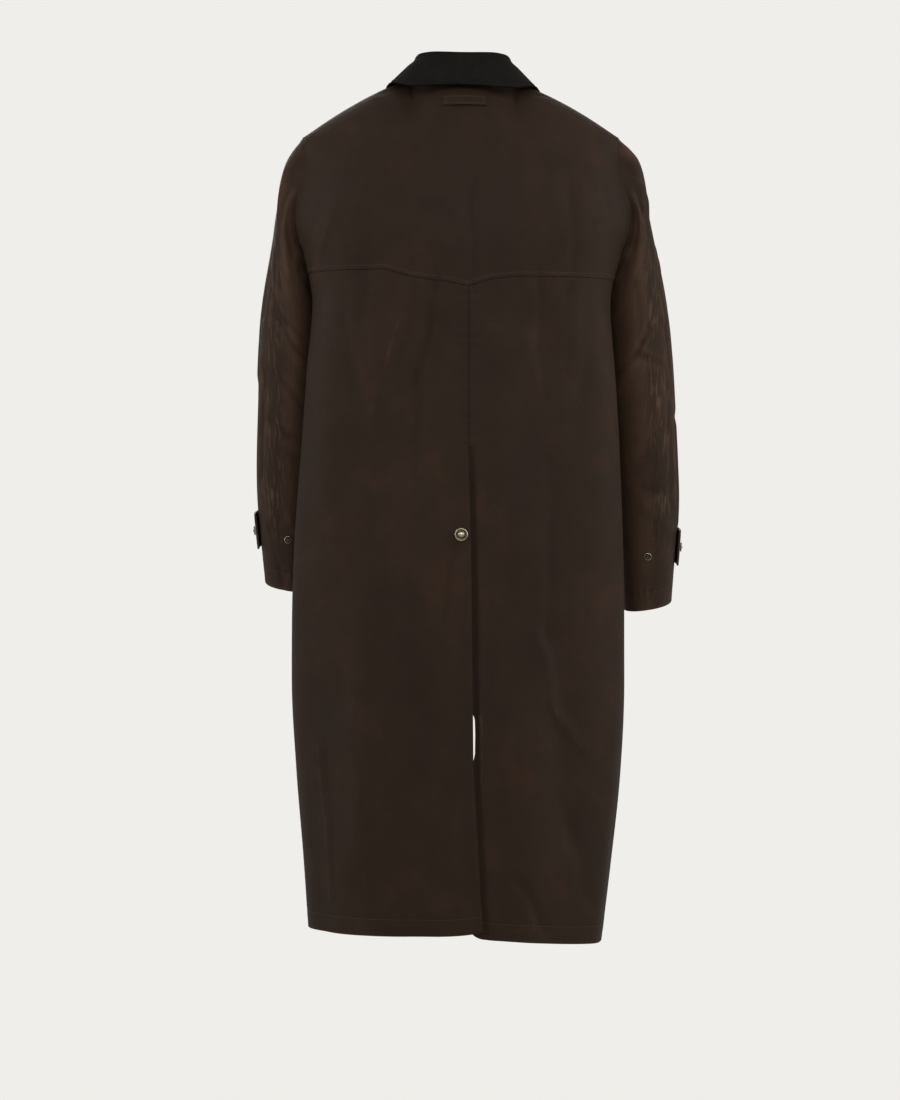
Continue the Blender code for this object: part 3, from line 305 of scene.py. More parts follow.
CREASE_FADE = 0.035
# Creases waver from side to side by this share of their width
CREASE_WAVER = 0.25
# Sewing: a lapped seam's width, rise and ease, the hem, stitches, and the dent that they pull in
LAP_WIDTH = 0.0090
LAP_RISE = 0.0009
LAP_EASE = 0.0035
HEM_WIDTH = 0.024
STITCH_PITCH = 0.0042
STITCH_LENGTH = 0.0030
STITCH_RADIUS = 0.00042
STITCH_SIDES = 5
GROOVE_DEPTH = 0.00045
GROOVE_WIDTH = 0.0014
PUCKER = 0.00028
PUCKER_PITCH = 0.0135
PUCKERS_AT_STITCHES = 0.012
# Width over which an edge sinks under a lap, and the dip along a plain seam: depth and width
TUCK_WIDTH = 0.004
SEAM_DIP = (0.0006, 0.0025)
# Rubbed wear on ridges and painted shade in hollows: how far each way a bend is measured, and how much one
# bend of 1/m counts
WEAR_AND_SHADE_REACH = 0.0070
WEAR_AND_SHADE_BEND = 0.0030
# The weave's and the lining twill's waves, in radians for each metre
WEAVE = 7400.0
TWILL = 3600.0
# Grid: distance between rows inside a panel, and near an edge
STEP = 0.0042
FINE_STEP = 0.0014
FINE_REACH = 0.0110
PANEL_WIDTH = 0.285


def smooth(value):
    """Ease from 0 to 1 as value goes from 0 to 1."""
    value = np.clip(value, 0.0, 1.0)
    return value * value * (3.0 - 2.0 * value)


def unit(vectors):
    """Vectors brought to length 1."""
    return vectors / np.maximum(np.linalg.norm(vectors, axis=-1, keepdims=True), 1e-12)


def bell(distance, width):
    """1 at a line, falling away on both sides: e to the power -(distance / width) squared."""
    return np.exp(-(distance / width) ** 2)


def line_slopes(lines, steps, last=None):
    """Slope at every line: the mean of the chords beside it, each weighted by the other's step."""
    chords = np.diff(lines, axis=0) / steps
    inner = (chords[1:] * steps[:-1] + chords[:-1] * steps[1:]) / (steps[1:] + steps[:-1])
    return np.concatenate([chords[:1], inner, chords[-1:] if last is None else last[None]])


def at_lines(values, index):
    """The values of each point's own line."""
    return np.take_along_axis(values, index[None, ..., None], axis=0)[0]


def curve_between(start, end, slope_start, slope_end, step, share):
    """A cubic from start to end with these slopes, at a share of the step between them."""
    return (start * (2 * share ** 3 - 3 * share ** 2 + 1)
            + end * (3 * share ** 2 - 2 * share ** 3)
            + slope_start * step * (share ** 3 - 2 * share ** 2 + share)
            + slope_end * step * (share ** 3 - share ** 2))


def through_lines(levels, lines, top_slope, level):
    """A smooth curve through the girth lines, read at each point's own level."""
    steps = np.diff(levels).reshape((-1,) + (1,) * (lines.ndim - 1))
    slopes = line_slopes(lines, steps, top_slope)
    index = np.clip(np.searchsorted(levels, level, side="right") - 1, 0, len(levels) - 2)
    step = (levels[index + 1] - levels[index])[..., None]
    share = (level - levels[index])[..., None] / step
    return curve_between(at_lines(lines, index), at_lines(lines, index + 1),
                         at_lines(slopes, index), at_lines(slopes, index + 1), step, share)


def raw_girth(row, angle, width):
    """An outline r = (|cos/depth|^n + |sin/width|^n)^(-1/n), tapered and pressed in by the arm."""
    power = GIRTH["power"][row]
    depth = np.where(np.cos(angle) >= 0.0, GIRTH["back"][row], GIRTH["front"][row])
    radius = (np.abs(np.cos(angle) / depth) ** power
              + np.abs(np.sin(angle) / width) ** power) ** (-1.0 / power)
    x = radius * np.sin(angle) * (1.0 - GIRTH["taper"][row] * (1.0 - np.cos(angle)) / 2.0)
    y = radius * np.cos(angle)
    hollow = GIRTH["nest"][row] * bell(y - GIRTH["nest_y"][row], NEST_WIDTH)
    return x - hollow * np.sin(angle) ** 2, y


def girth_line(row, q):
    """One girth line at q, scaled so that its widest point is the half width in the table."""
    side = np.where(q < 0.0, -1.0, 1.0)
    turn = np.abs(q)
    taper = GIRTH["taper"][row]
    last = PI - math.asin(GIRTH["opening"][row] / (GIRTH["front"][row] * (1.0 - taper)))
    angle = np.where(turn <= 1.0, turn * PI / 2.0, PI / 2.0 + (turn - 1.0) * (last - PI / 2.0))
    every = np.linspace(0.0, PI, 181)
    x = np.zeros_like(q)
    y = np.zeros_like(q)
    for sign, column in ((1.0, "left"), (-1.0, "right")):
        width = GIRTH[column][row]
        widest = raw_girth(row, every, width)[0].max()
        side_x, side_y = raw_girth(row, angle, width)
        x = np.where(side == sign, side_x * width / widest, x)
        y = np.where(side == sign, side_y, y)
    height = GIRTH["height"][row] - GIRTH["side_drop"][row] * np.sin(angle) ** 2
    lean = HEM_LEAN * np.clip(1.0 - GIRTH["level"][row] / LEAN_REACH, 0.0, 1.0)
    return np.stack([side * x, y, height + lean * side * x], axis=-1)


def shoulder_line(q):
    """The neck edge and the shoulder seam, from the centre back round to the front edge."""
    side = np.where(q < 0.0, -1.0, 1.0)
    turn = np.abs(q)
    right = side < 0.0
    side_z = NECK_SIDE[2] - RIGHT_NECK_LOWER * right
    tip_x = SHOULDER_TIP[0] - RIGHT_TIP_INWARD * right
    back_angle = PI / 2.0 * turn / NECK_SHARE
    front_angle = PI / 2.0 * (2.0 - turn) / NECK_SHARE
    along = np.sin(PI / 2.0 * np.clip(1.0 - np.abs(turn - 1.0) / (1.0 - NECK_SHARE), 0.0, 1.0))
    x = NECK_SIDE[0] + (tip_x - NECK_SIDE[0]) * along
    y = NECK_SIDE[1] + (SHOULDER_TIP[1] - NECK_SIDE[1]) * along
    z = side_z + (SHOULDER_TIP[2] - side_z) * along + SHOULDER_RISE * 4.0 * along * (1.0 - along)
    at_back = turn < NECK_SHARE
    x = np.where(at_back, NECK_SIDE[0] * np.sin(back_angle), x)
    y = np.where(at_back, NECK_SIDE[1] + (NECK_BACK[1] - NECK_SIDE[1]) * np.cos(back_angle), y)
    z = np.where(at_back, side_z + (NECK_BACK[2] - side_z) * np.cos(back_angle), z)
    at_front = turn > 2.0 - NECK_SHARE
    x = np.where(at_front, NECK_FRONT[0] + (NECK_SIDE[0] - NECK_FRONT[0]) * np.sin(front_angle), x)
    y = np.where(at_front, NECK_SIDE[1] + (NECK_FRONT[1] - NECK_SIDE[1]) * np.cos(front_angle), y)
    z = np.where(at_front, side_z + (NECK_FRONT[2] - side_z) * np.cos(front_angle), z)
    return np.stack([side * x, y, z], axis=-1)


def shoulder_slope(q):
    """How the cloth arrives at the shoulder line: level over the shoulders, rising at the neck."""
    side = np.where(q < 0.0, -1.0, 1.0)
    turn = np.abs(q)
    facing = np.sin(PI / 2.0 * np.clip((1.0 - turn) / TIP_ROUNDING, -1.0, 1.0))
    over = np.stack([np.zeros_like(q), -facing, np.zeros_like(q)], axis=-1)
    inward, over_neck, upward = NECK_ARRIVAL
    neck = np.stack([-inward * side * np.clip(1.0 - np.abs(turn - 1.0), 0.0, 1.0),
                     -over_neck * facing, np.full_like(q, upward)], axis=-1)
    early, width = NECK_BLEND
    share = smooth((np.abs(turn - 1.0) - (1.0 - NECK_SHARE) + early) / width)[..., None]
    return over * (1.0 - share) + neck * share


def beside_line(right, up, run, climb):
    """How far points lie along and across a line from its start, and the line's length."""
    length = math.hypot(run, climb)
    return (right * run + up * climb) / length, (right * climb - up * run) / length, length


def fade_ends(along, length, fade, beyond=0.0):
    """1 along a line, easing to 0 at both ends over a distance, from a little beyond them."""
    return smooth((along + beyond) / fade) * smooth((length + beyond - along) / fade)


def body_folds(q, level):
    """Push in or out by every fold: a soft bell across its line, faded at its ends."""
    push = np.zeros_like(q)
    for q_start, level_start, q_end, level_end, width, depth in BODY_FOLDS:
        along, across, length = beside_line((q - q_start) * QUARTER_GIRTH, level - level_start,
                                            (q_end - q_start) * QUARTER_GIRTH, level_end - level_start)
        fade = fade_ends(along, length, FOLD_FADE)
        if level_end <= 0.0:
            fade = smooth(along / HEM_FOLD_FADE)
        push += depth * fade * bell(across, width)
    return push


def crease_push(point):
    """Push of every small crease at points, by x and height, on the face that it belongs to."""
    push = np.zeros(point.shape[:-1])
    x, y, z = point[..., 0], point[..., 1], point[..., 2]
    for face, x_start, z_start, x_end, z_end, width, depth in CREASE_ROWS:
        along, across, length = beside_line(x - x_start, z - z_start, x_end - x_start, z_end - z_start)
        across = across + CREASE_WAVER * width * np.sin(along / 0.021 + 30.0 * x_start)
        near = np.abs(across) < 4.0 * width
        fade = fade_ends(along, length, CREASE_FADE, beyond=CREASE_FADE)
        side = smooth((face * y + 0.02) / 0.05)
        push += np.where(near, depth * fade * side * bell(across, width), 0.0)
    return push


def body(q, level):
    """A point of the body cloth, folds and creases in. q: 0 centre back, 1 side, 2 front edge."""
    q, level = np.broadcast_arrays(np.asarray(q, float), np.asarray(level, float))
    lines = [girth_line(row, q) for row in range(len(GIRTH_ROWS))] + [shoulder_line(q)]
    levels = np.append(GIRTH["level"], SHOULDER_LINE)
    point = through_lines(levels, np.stack(lines), shoulder_slope(q), level)
    outward = unit(point * (1.0, 1.0, 0.0))
    top = smooth((SHOULDER_LINE - level) / 0.05)
    push = body_folds(q, level) + crease_push(point) * top
    return point + outward * push[..., None]


def body_normal(q, level):
    """The cloth's outward normal, the same for pieces that share a seam."""
    q, level = np.broadcast_arrays(np.asarray(q, float), np.asarray(level, float))
    step = 1e-3
    tip_level, tip_turn = NEAR_TIP
    near_tip = (level > SHOULDER_LINE - tip_level) & (np.abs(np.abs(q) - 1.0) < tip_turn)
    q = np.where(near_tip, np.sign(q) * (1.0 - tip_turn), q)
    up = body(q, np.minimum(level + step, SHOULDER_LINE)) - body(q, np.maximum(level - step, 0.0))
    round_body = body(q + step, level) - body(q - step, level)
    normal = unit(np.cross(up, round_body))
    turn = np.abs(q)
    back_share = np.cos(PI / 2.0 * np.clip(turn / NECK_SHARE, 0.0, 1.0))
    front_share = np.cos(PI / 2.0 * np.clip((2.0 - turn) / NECK_SHARE, 0.0, 1.0))
    side = np.where(q < 0.0, -1.0, 1.0)
    sideways = (NECK_NORMAL_SIDE * (1.0 - back_share) * (1.0 - front_share)
                + NECK_NORMAL_FRONT[0] * front_share)
    top = np.stack([side * sideways,
                    NECK_NORMAL_BACK * back_share + NECK_NORMAL_FRONT[1] * front_share,
                    np.full_like(q, NECK_NORMAL_UP)], axis=-1)
    near_top = smooth((level - SHOULDER_LINE + tip_level) / tip_level)[..., None]
    return unit(normal * (1.0 - near_top) + unit(top) * near_top)


def armhole(angle):
    """q (unsigned) and level of the armhole edge: 0 tip, 90 back, 180 armpit, 270 front."""
    angle = np.radians(angle)
    level = ARMHOLE_MIDDLE + ARMHOLE_HALF * np.cos(angle) - ARMHOLE_SAG * np.sin(angle) ** 2
    reach = np.where(np.sin(angle) >= 0.0, ARMHOLE_BACK, ARMHOLE_FRONT)
    return 1.0 - reach * np.sin(angle), level


def armhole_angle(level):
    """The back angle in degrees at which the armhole edge has this level."""
    rest = ARMHOLE_MIDDLE - ARMHOLE_SAG - level
    root = math.sqrt(ARMHOLE_HALF * ARMHOLE_HALF - 4.0 * ARMHOLE_SAG * rest)
    cosine = (-ARMHOLE_HALF + root) / (2.0 * ARMHOLE_SAG)
    return math.degrees(math.acos(cosine))


def q_at(x, level):
    """q of the points near the centre back that lie x to the wearer's left at this level."""
    x, level = np.broadcast_arrays(np.asarray(x, float), np.asarray(level, float))
    near_back = np.linspace(-0.5, 0.5, 101)
    found = [np.interp(one_x, body(near_back, one_level)[:, 0], near_back)
             for one_x, one_level in zip(x.ravel(), level.ravel())]
    return np.reshape(found, x.shape)


def yoke_seam_level(q):
    """Level of the yoke seam at q, from its heights at each x."""
    across, heights = np.array(YOKE_SEAM).T
    x = body(q, np.full_like(q, YOKE_LEVEL_LEFT))[..., 0]
    return np.interp(x, across, heights) - ARMPIT_HEIGHT + ARMPIT


def yoke_angle(side):
    """Armhole angle at which the yoke seam ends."""
    return armhole_angle(YOKE_LEVEL_LEFT if side > 0 else YOKE_LEVEL_RIGHT)


def underlap_dip(q, level):
    """How far the right back panel sinks under the left one beside the vent."""
    x = body(q, level)[..., 0]
    upper = np.interp(level, VENT["level"], VENT["upper_edge"])
    depth = np.where(level < VENT_TOP, np.interp(level, VENT["level"], VENT["dip"]), 0.0)
    return depth * smooth((x - upper + UNDERLAP_WIDTH) / UNDERLAP_EASE)


def spread(length):
    """Shares from 0 to 1 over a length: close rows near both ends, wider ones between."""
    reach = min(FINE_REACH, length / 3.0)
    near = np.linspace(0.0, reach, max(2, round(reach / FINE_STEP)) + 1)
    between = np.linspace(reach, length - reach, max(1, round((length - 2.0 * reach) / STEP)) + 1)
    return np.concatenate([near, between[1:-1], length - near[::-1]]) / length


def edge_distance(points, axis, end):
    """Distance of each grid point from the first (0) or last (-1) edge along an axis."""
    steps = np.linalg.norm(np.diff(points, axis=axis), axis=-1)
    zero = np.zeros_like(np.take(steps, [0], axis=axis))
    along = np.concatenate([zero, np.cumsum(steps, axis=axis)], axis=axis)
    return along if end == 0 else np.take(along, [-1], axis=axis) - along


def lap(distance):
    """Rise of a lapped edge: full over the lap's width, easing off behind it."""
    return LAP_RISE * smooth((LAP_WIDTH - distance) / LAP_EASE)


def tuck(distance, width=TUCK_WIDTH):
    """How far an edge sinks where it goes under a lap: full at the edge, none at the width."""
    return -LAP_RISE * smooth((width - distance) / width)


def dip(distance, depth, width):
    """A dent along a line, bell-shaped across it."""
    return -depth * bell(distance, width)


def groove(distance, line):
    """The dent that a row of stitches pulls into the cloth."""
    return dip(distance - line, GROOVE_DEPTH, GROOVE_WIDTH)


def edge_wear_and_shade(distance, amount, reach):
    """Rubbed wear near an edge where it is added, painted shade along a seam where it is taken away: the
    amount times e to the power -distance / reach.
    """
    return amount * np.exp(-distance / reach)


def nearest(distances, value):
    """Number of the row or column whose distance from an edge is nearest to a value."""
    return int(np.argmin(np.abs(distances - value)))


def puckers(distance, along, reach=0.020):
    """Small waves across a seam, where the stitches draw the cloth together."""
    wave = np.sin(2.0 * PI * along / PUCKER_PITCH + 2.2 * np.sin(along / 0.031))
    return PUCKER * wave * bell(distance, reach)


def point_values(item, name, values):
    """A number at every point of a mesh, for its material to read."""
    item.data.attributes.new(name, "FLOAT", "POINT").data.foreach_set("value", values)


def cloth_wall(name, points, normals, uv, wear_and_shade, materials, wall=CLOTH, tube=False):
    """A closed cloth piece: outer and inner skins and rims, with a UV map and values of wear and painted
    shade.
    """
    rows, columns = points.shape[:2]
    count = rows * columns
    vertices = np.concatenate([(points + normals * wall / 2.0).reshape(-1, 3),
                               (points - normals * wall / 2.0).reshape(-1, 3)])
    outer = quads(rows, columns, closed=tube)
    inner = outer[:, ::-1] + count
    number = joined(np.arange(count).reshape(rows, columns), tube)
    edges = [number[0, ::-1], number[-1, :]]
    if not tube:
        edges += [number[:, 0], number[::-1, -1]]
    rims = [np.stack([edge[:-1], edge[1:], edge[1:] + count, edge[:-1] + count], axis=1) for edge in edges]
    rims = np.concatenate(rims)
    faces = np.concatenate([outer, inner, rims])
    first = vertices[outer[:, 0]]
    middle = np.cross(vertices[outer[:, 1]] - first, vertices[outer[:, 2]] - first)
    if np.sum(middle * normals.reshape(-1, 3)[outer[:, 0]]) < 0.0:
        faces = faces[:, ::-1]
    item = mesh_object(name, vertices, faces)
    mesh = item.data
    for material in materials:
        mesh.materials.append(material)
    inside = np.zeros(len(faces), int)
    inside[len(outer):len(outer) + len(inner)] = len(materials) - 1
    mesh.polygons.foreach_set("material_index", inside)
    mesh.set_sharp_from_angle(angle=math.radians(60.0))
    corners = np.zeros(len(mesh.loops), int)
    mesh.loops.foreach_get("vertex_index", corners)
    both = np.tile(uv.reshape(-1, 2), (2, 1))
    mesh.uv_layers.new(name="cloth").data.foreach_set("uv", both[corners].ravel())
    point_values(item, "wear_and_shade", np.tile(np.clip(wear_and_shade, 0.0, 1.0).ravel(), 2))
    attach(item, "root")
    return item


def cloth_area(points, tube=False):
    """Area of a grid of points."""
    grid = joined(points, tube)
    first = grid[1:, 1:] - grid[:-1, :-1]
    second = grid[1:, :-1] - grid[:-1, 1:]
    return float(np.sum(np.linalg.norm(np.cross(first, second), axis=-1)) / 2.0)


def ridge_wear_and_hollow_shade(points, normals, tube=False):
    """0.5 on flat cloth, more on ridges where the cloth is rubbed lighter and less in hollows where it gets
    painted shade, by its bend over the set reach each way.
    """
    total = np.zeros(points.shape[:2])
    for axis in (0, 1):
        if tube and axis == 1:
            reach = max(1, round(WEAR_AND_SHADE_REACH / np.linalg.norm(points[:, 1] - points[:, 0], axis=-1).mean()))
            ahead, behind = np.roll(points, -reach, axis=1), np.roll(points, reach, axis=1)
        else:
            along = edge_distance(points, axis, 0).mean(axis=1 - axis)
            last = len(along) - 1
            ahead = np.take(points, np.minimum(np.searchsorted(along, along + WEAR_AND_SHADE_REACH), last), axis=axis)
            behind = np.take(points, np.searchsorted(along, along - WEAR_AND_SHADE_REACH), axis=axis)
        bend = -np.sum((ahead + behind - 2.0 * points) * normals, axis=-1) / WEAR_AND_SHADE_REACH ** 2
        total += bend - bend.mean()
    return np.clip(0.5 + total * WEAR_AND_SHADE_BEND, 0.0, 1.0)


def stitch_row(points, normals):
    """Vertices and faces of a row of stitches along a line on the cloth."""
    run = np.concatenate([[0.0], np.cumsum(np.linalg.norm(np.diff(points, axis=0), axis=1))])
    count = max(1, int(run[-1] / STITCH_PITCH))
    middles = (np.arange(count) + 0.5) * run[-1] / count
    along = np.array((-1.0, -0.7, 0.7, 1.0)) * STITCH_LENGTH / 2.0
    girth = np.array((0.35, 0.95, 0.95, 0.35)) * STITCH_RADIUS
    at = middles[:, None] + along[None, :]
    centre = np.stack([np.interp(at, run, points[:, axis]) for axis in range(3)], axis=-1)
    up = unit(np.stack([np.interp(at, run, normals[:, axis]) for axis in range(3)], axis=-1))
    centre = centre - up * (STITCH_RADIUS * (np.abs(along) / STITCH_LENGTH * 2.0) ** 4)[None, :, None]
    heading = unit(centre[:, 3:] - centre[:, :1])
    across = unit(np.cross(np.broadcast_to(heading, up.shape), up))
    corner = np.arange(STITCH_SIDES) * 2.0 * PI / STITCH_SIDES
    ring = (across[:, :, None] * np.cos(corner)[None, None, :, None]
            + up[:, :, None] * np.sin(corner)[None, None, :, None])
    vertices = centre[:, :, None] + ring * girth[None, :, None, None]
    one = quads(len(along), STITCH_SIDES, closed=True)
    first = np.arange(count) * len(along) * STITCH_SIDES
    faces = (one[None] + first[:, None, None]).reshape(-1, 4)
    return vertices.reshape(-1, 3), faces


def stitching(name, points, normals, lines, wall=CLOTH, proud=0.55):
    """One piece of thread: rows of stitches along lines of a wall's grid of points, standing
    proud of its outer skin by a share of their radius."""
    skin = points + normals * (wall / 2.0 + STITCH_RADIUS * proud)
    vertices, faces, total = [], [], 0
    for line in lines:
        row_vertices, row_faces = stitch_row(skin[line], normals[line])
        vertices.append(row_vertices)
        faces.append(row_faces + total)
        total += len(row_vertices)
    item = mesh_object(name, np.concatenate(vertices), np.concatenate(faces))
    item.data.materials.append(thread)
    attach(item, "root")
    return item


class Socket:
    """A shader output that takes part in sums and products as a number does."""

    def __init__(self, paint, output):
        self.paint = paint
        self.output = output

    def maths(self, operation, *others, clamp=False):
        """A math node on this output and others."""
        node = self.paint.nodes.new("ShaderNodeMath")
        node.operation = operation
        node.use_clamp = clamp
        for place, value in enumerate((self,) + others):
            self.paint.put(value, node.inputs[place])
        return Socket(self.paint, node.outputs[0])

    def __add__(self, other):
        return self.maths("ADD", other)

    def __mul__(self, other):
        return self.maths("MULTIPLY", other)

    def __sub__(self, other):
        return self.maths("SUBTRACT", other)

    def __rsub__(self, other):
        return (self * -1.0) + other

    def __truediv__(self, other):
        return self.maths("DIVIDE", other)

    __radd__ = __add__

    def between(self, low, high):
        """0 below low, 1 above high, a straight line between."""
        return ((self - low) / (high - low)).maths("ADD", 0.0, clamp=True)


class Paint:
    """A material with one Principled shader, and its nodes made by one method."""

    def __init__(self, name, **constants):
        self.material = bpy.data.materials.new(name)
        self.material.use_nodes = True
        self.nodes = self.material.node_tree.nodes
        self.links = self.material.node_tree.links
        self.shader = self.nodes["Principled BSDF"]
        for socket, value in constants.items():
            self.shader.inputs[socket.replace("_", " ")].default_value = value

    def put(self, value, socket):
        """Link an output to a socket, or set the socket to a number or colour."""
        if isinstance(value, Socket):
            self.links.new(value.output, socket)
        else:
            socket.default_value = value

    def node(self, kind, output=0, settings=(), **inputs):
        """A node of a kind, with settings and inputs by name, as one of its outputs."""
        node = self.nodes.new("ShaderNode" + kind)
        for name, value in dict(settings).items():
            setattr(node, name, value)
        for name, value in inputs.items():
            self.put(value, node.inputs[name.replace("_", " ")])
        return Socket(self, node.outputs[output])

    def noise(self, scale, detail=3.0, stretch=(1.0, 1.0, 1.0), roughness=0.55):
        """Noise in the object's metres, about 0 to 1, stretched along an axis if asked."""
        place = self.node("TexCoord", "Object")
        place = self.node("Mapping", 0, Vector=place, Scale=stretch)
        return self.node("TexNoise", 0, Vector=place, Scale=scale, Detail=detail, Roughness=roughness)

    def attribute(self, name):
        """The numbers kept at the mesh's points under a name."""
        return self.node("Attribute", "Fac", settings={"attribute_name": name})

    def cloth_place(self):
        """Metres across and up the cloth, from its UV map."""
        across = self.node("SeparateXYZ", 0, Vector=self.node("TexCoord", "UV"))
        return across, Socket(self, across.output.node.outputs[1])

    def blend(self, share, first, second):
        """A colour between two, by a share from 0 to 1."""
        node = self.nodes.new("ShaderNodeMix")
        node.data_type = "RGBA"
        self.put(share, node.inputs[0])
        self.put(first, node.inputs[6])
        self.put(second, node.inputs[7])
        return Socket(self, node.outputs[2])

    def bump(self, height, distance, under=None):
        """A bump from a height of 0 to 1, whose full height is the distance in metres."""
        inputs = {"Height": height, "Distance": distance, "Strength": 1.0}
        if under is not None:
            inputs["Normal"] = under
        return self.node("Bump", 0, **inputs)

    def finish(self, **sockets):
        """Feed the shader's sockets and hand over the material."""
        for name, value in sockets.items():
            self.put(value, self.shader.inputs[name.replace("_", " ")])
        return self.material


def waxed_cotton():
    """Dark brown waxed cotton: cloudy wax, rubbed lighter and redder on ridges and edges, with painted shade
    in hollows and along seams and painted light lifting parts of the sleeves.
    """
    paint = Paint("waxed_cotton", Specular_IOR_Level=0.07)
    wear_and_shade = paint.attribute("wear_and_shade")
    clouds = paint.noise(7.0, 4.0, (1.0, 1.0, 0.55))
    patches = paint.noise(23.0, 3.0, (1.0, 1.0, 0.8))
    streaks = paint.noise(60.0, 2.0, (1.0, 1.0, 0.12))
    grain = paint.noise(420.0, 2.0)
    deep = (0.0197, 0.0118, 0.0081, 1.0)
    plain = (0.0258, 0.0147, 0.0097, 1.0)
    rusty = (0.0330, 0.0162, 0.0099, 1.0)
    # This lighter colour is real wear on ridges and edges, and also painted light where the sleeves are
    # lifted and along their crinkles.
    rubbed = (0.0760, 0.0450, 0.0285, 1.0)
    shaded = (0.0130, 0.0085, 0.0062, 1.0)
    tone = (clouds * 0.55 + patches * 0.30 + streaks * 0.15).between(0.40, 0.62)
    colour = paint.blend(tone, deep, plain)
    colour = paint.blend((patches * 0.6 + clouds * 0.4).between(0.56, 0.70) * 0.65, colour, rusty)
    # Lighter where the mesh value is high: real rubbing on ridges and edges, and painted light on the
    # sleeves' outer side and inner back.
    rubbing_and_painted_light = (wear_and_shade + (grain - 0.5) * 0.22 + (patches - 0.5) * 0.25).between(0.62, 1.0)
    colour = paint.blend(rubbing_and_painted_light * 0.60, colour, rubbed)
    # Light crinkle lines on the outer back of the sleeves: whitened wax, partly a painted highlight.
    lines = paint.noise(230.0, 1.5, (1.0, 1.0, 0.11), 0.5)
    lines = lines.between(0.53, 0.64) * (patches - 0.28).between(0.06, 0.26) * paint.attribute("crinkle")
    colour = paint.blend(lines * 0.70, colour, rubbed)
    # Painted shade: darker towards the shaded colour where the mesh value is low, in hollows and along
    # seams.
    hollow = 1.0 - wear_and_shade.between(0.18, 0.50)
    colour = paint.blend(hollow * 0.40, colour, shaded)
    roughness = 0.60 + (clouds - 0.5) * 0.22 + (streaks - 0.5) * 0.12 - rubbing_and_painted_light * 0.08
    across, upward = paint.cloth_place()
    weave = (across * WEAVE).maths("SINE") * (upward * WEAVE).maths("SINE")
    rumple = paint.noise(34.0, 4.0, (1.0, 1.0, 0.6), 0.62)
    fine = paint.node("TexNoise", 0, settings={"noise_type": "RIDGED_MULTIFRACTAL"},
                      Vector=paint.node("TexCoord", "Object"), Scale=85.0, Detail=2.0)
    relief = paint.bump(rumple, 0.0015)
    relief = paint.bump(fine, 0.00016, relief)
    relief = paint.bump(lines, 0.0008, relief)
    relief = paint.bump(weave * 0.5 + 0.5 + grain * 0.6, 0.00006, relief)
    return paint.finish(Base_Color=colour, Roughness=roughness, Normal=relief)


def lining_cotton():
    """The inside: plain brown cotton twill, dull, a little lighter than the outside."""
    paint = Paint("lining_cotton", Specular_IOR_Level=0.2, Roughness=0.85)
    clouds = paint.noise(9.0, 3.0)
    across, upward = paint.cloth_place()
    twill = ((across + upward) * TWILL).maths("SINE") * 0.5 + 0.5
    plain = (0.050, 0.034, 0.024, 1.0)
    light = (0.066, 0.045, 0.033, 1.0)
    dark = (0.034, 0.023, 0.017, 1.0)
    colour = paint.blend(twill * 0.25, paint.blend(clouds.between(0.35, 0.65), plain, light), dark)
    return paint.finish(Base_Color=colour, Normal=paint.bump(twill, 0.00012))


def sewing_thread():
    """Brown thread, a little lighter and redder than the cloth, with a twisted surface."""
    paint = Paint("sewing_thread", Specular_IOR_Level=0.3, Roughness=0.6)
    shade = paint.noise(30.0, 2.0)
    twist = paint.noise(1500.0, 1.0)
    dark = (0.034, 0.020, 0.013, 1.0)
    light = (0.050, 0.029, 0.019, 1.0)
    colour = paint.blend(shade.between(0.35, 0.65), dark, light)
    return paint.finish(Base_Color=colour, Normal=paint.bump(twist, 0.00008))


cotton = waxed_cotton()
lining = lining_cotton()
thread = sewing_thread()


def back_panel_grid(side):
    """q and level over one lower back panel: rows up, columns from the centre out."""
    edge = VENT["upper_edge"] if side > 0 else VENT["under_edge"]
    levels = np.unique(np.concatenate([spread(ARMPIT) * ARMPIT, [VENT_TOP]]))
    levels = levels[levels <= ARMPIT - FINE_REACH]
    high = np.linspace(180.0, yoke_angle(side), 30)
    q_edge, level_edge = armhole(high)
    fine = np.linspace(0.0, 1.0, 26)
    level_edge = np.concatenate([np.linspace(levels[-1], ARMPIT, 5)[1:-1],
                                 np.interp(fine, np.linspace(0.0, 1.0, 30), level_edge)])
    q_edge = np.concatenate([np.ones(3), np.interp(fine, np.linspace(0.0, 1.0, 30), q_edge)])
    all_levels = np.concatenate([levels, level_edge])
    all_q = np.concatenate([np.ones(len(levels)), q_edge])
    centre_x = np.where(all_levels < VENT_TOP, np.interp(all_levels, VENT["level"], edge), SEAM_X)
    centre = q_at(centre_x, all_levels)[:, None]
    shares = spread(PANEL_WIDTH)[None, :]
    q = centre + (side * all_q[:, None] - centre) * shares
    climb = np.clip((all_levels - ARMPIT) / (all_levels[-1] - ARMPIT), 0.0, 1.0)[:, None]
    seam = yoke_seam_level(q)
    level = np.where(all_levels[:, None] <= ARMPIT, all_levels[:, None], ARMPIT + climb * (seam - ARMPIT))
    return q, level


def vent_corner_lift(x, level):
    """The left panel's hem corner at the vent hangs a little higher."""
    near_edge = np.exp(-np.abs(x - VENT["upper_edge"][0]) / VENT_CORNER_REACH)
    return VENT_CORNER_LIFT * near_edge * (1.0 - smooth(level / 0.10))


def underlap_corner(from_edge, level):
    """The right panel's hem corner is rounded off, a quarter of an ellipse."""
    share = np.clip(1.0 - from_edge / ROUND_CORNER[0], 0.0, 1.0)
    return ROUND_CORNER[1] * (1.0 - np.sqrt(1.0 - share ** 2)) * (1.0 - smooth(level / 0.05))


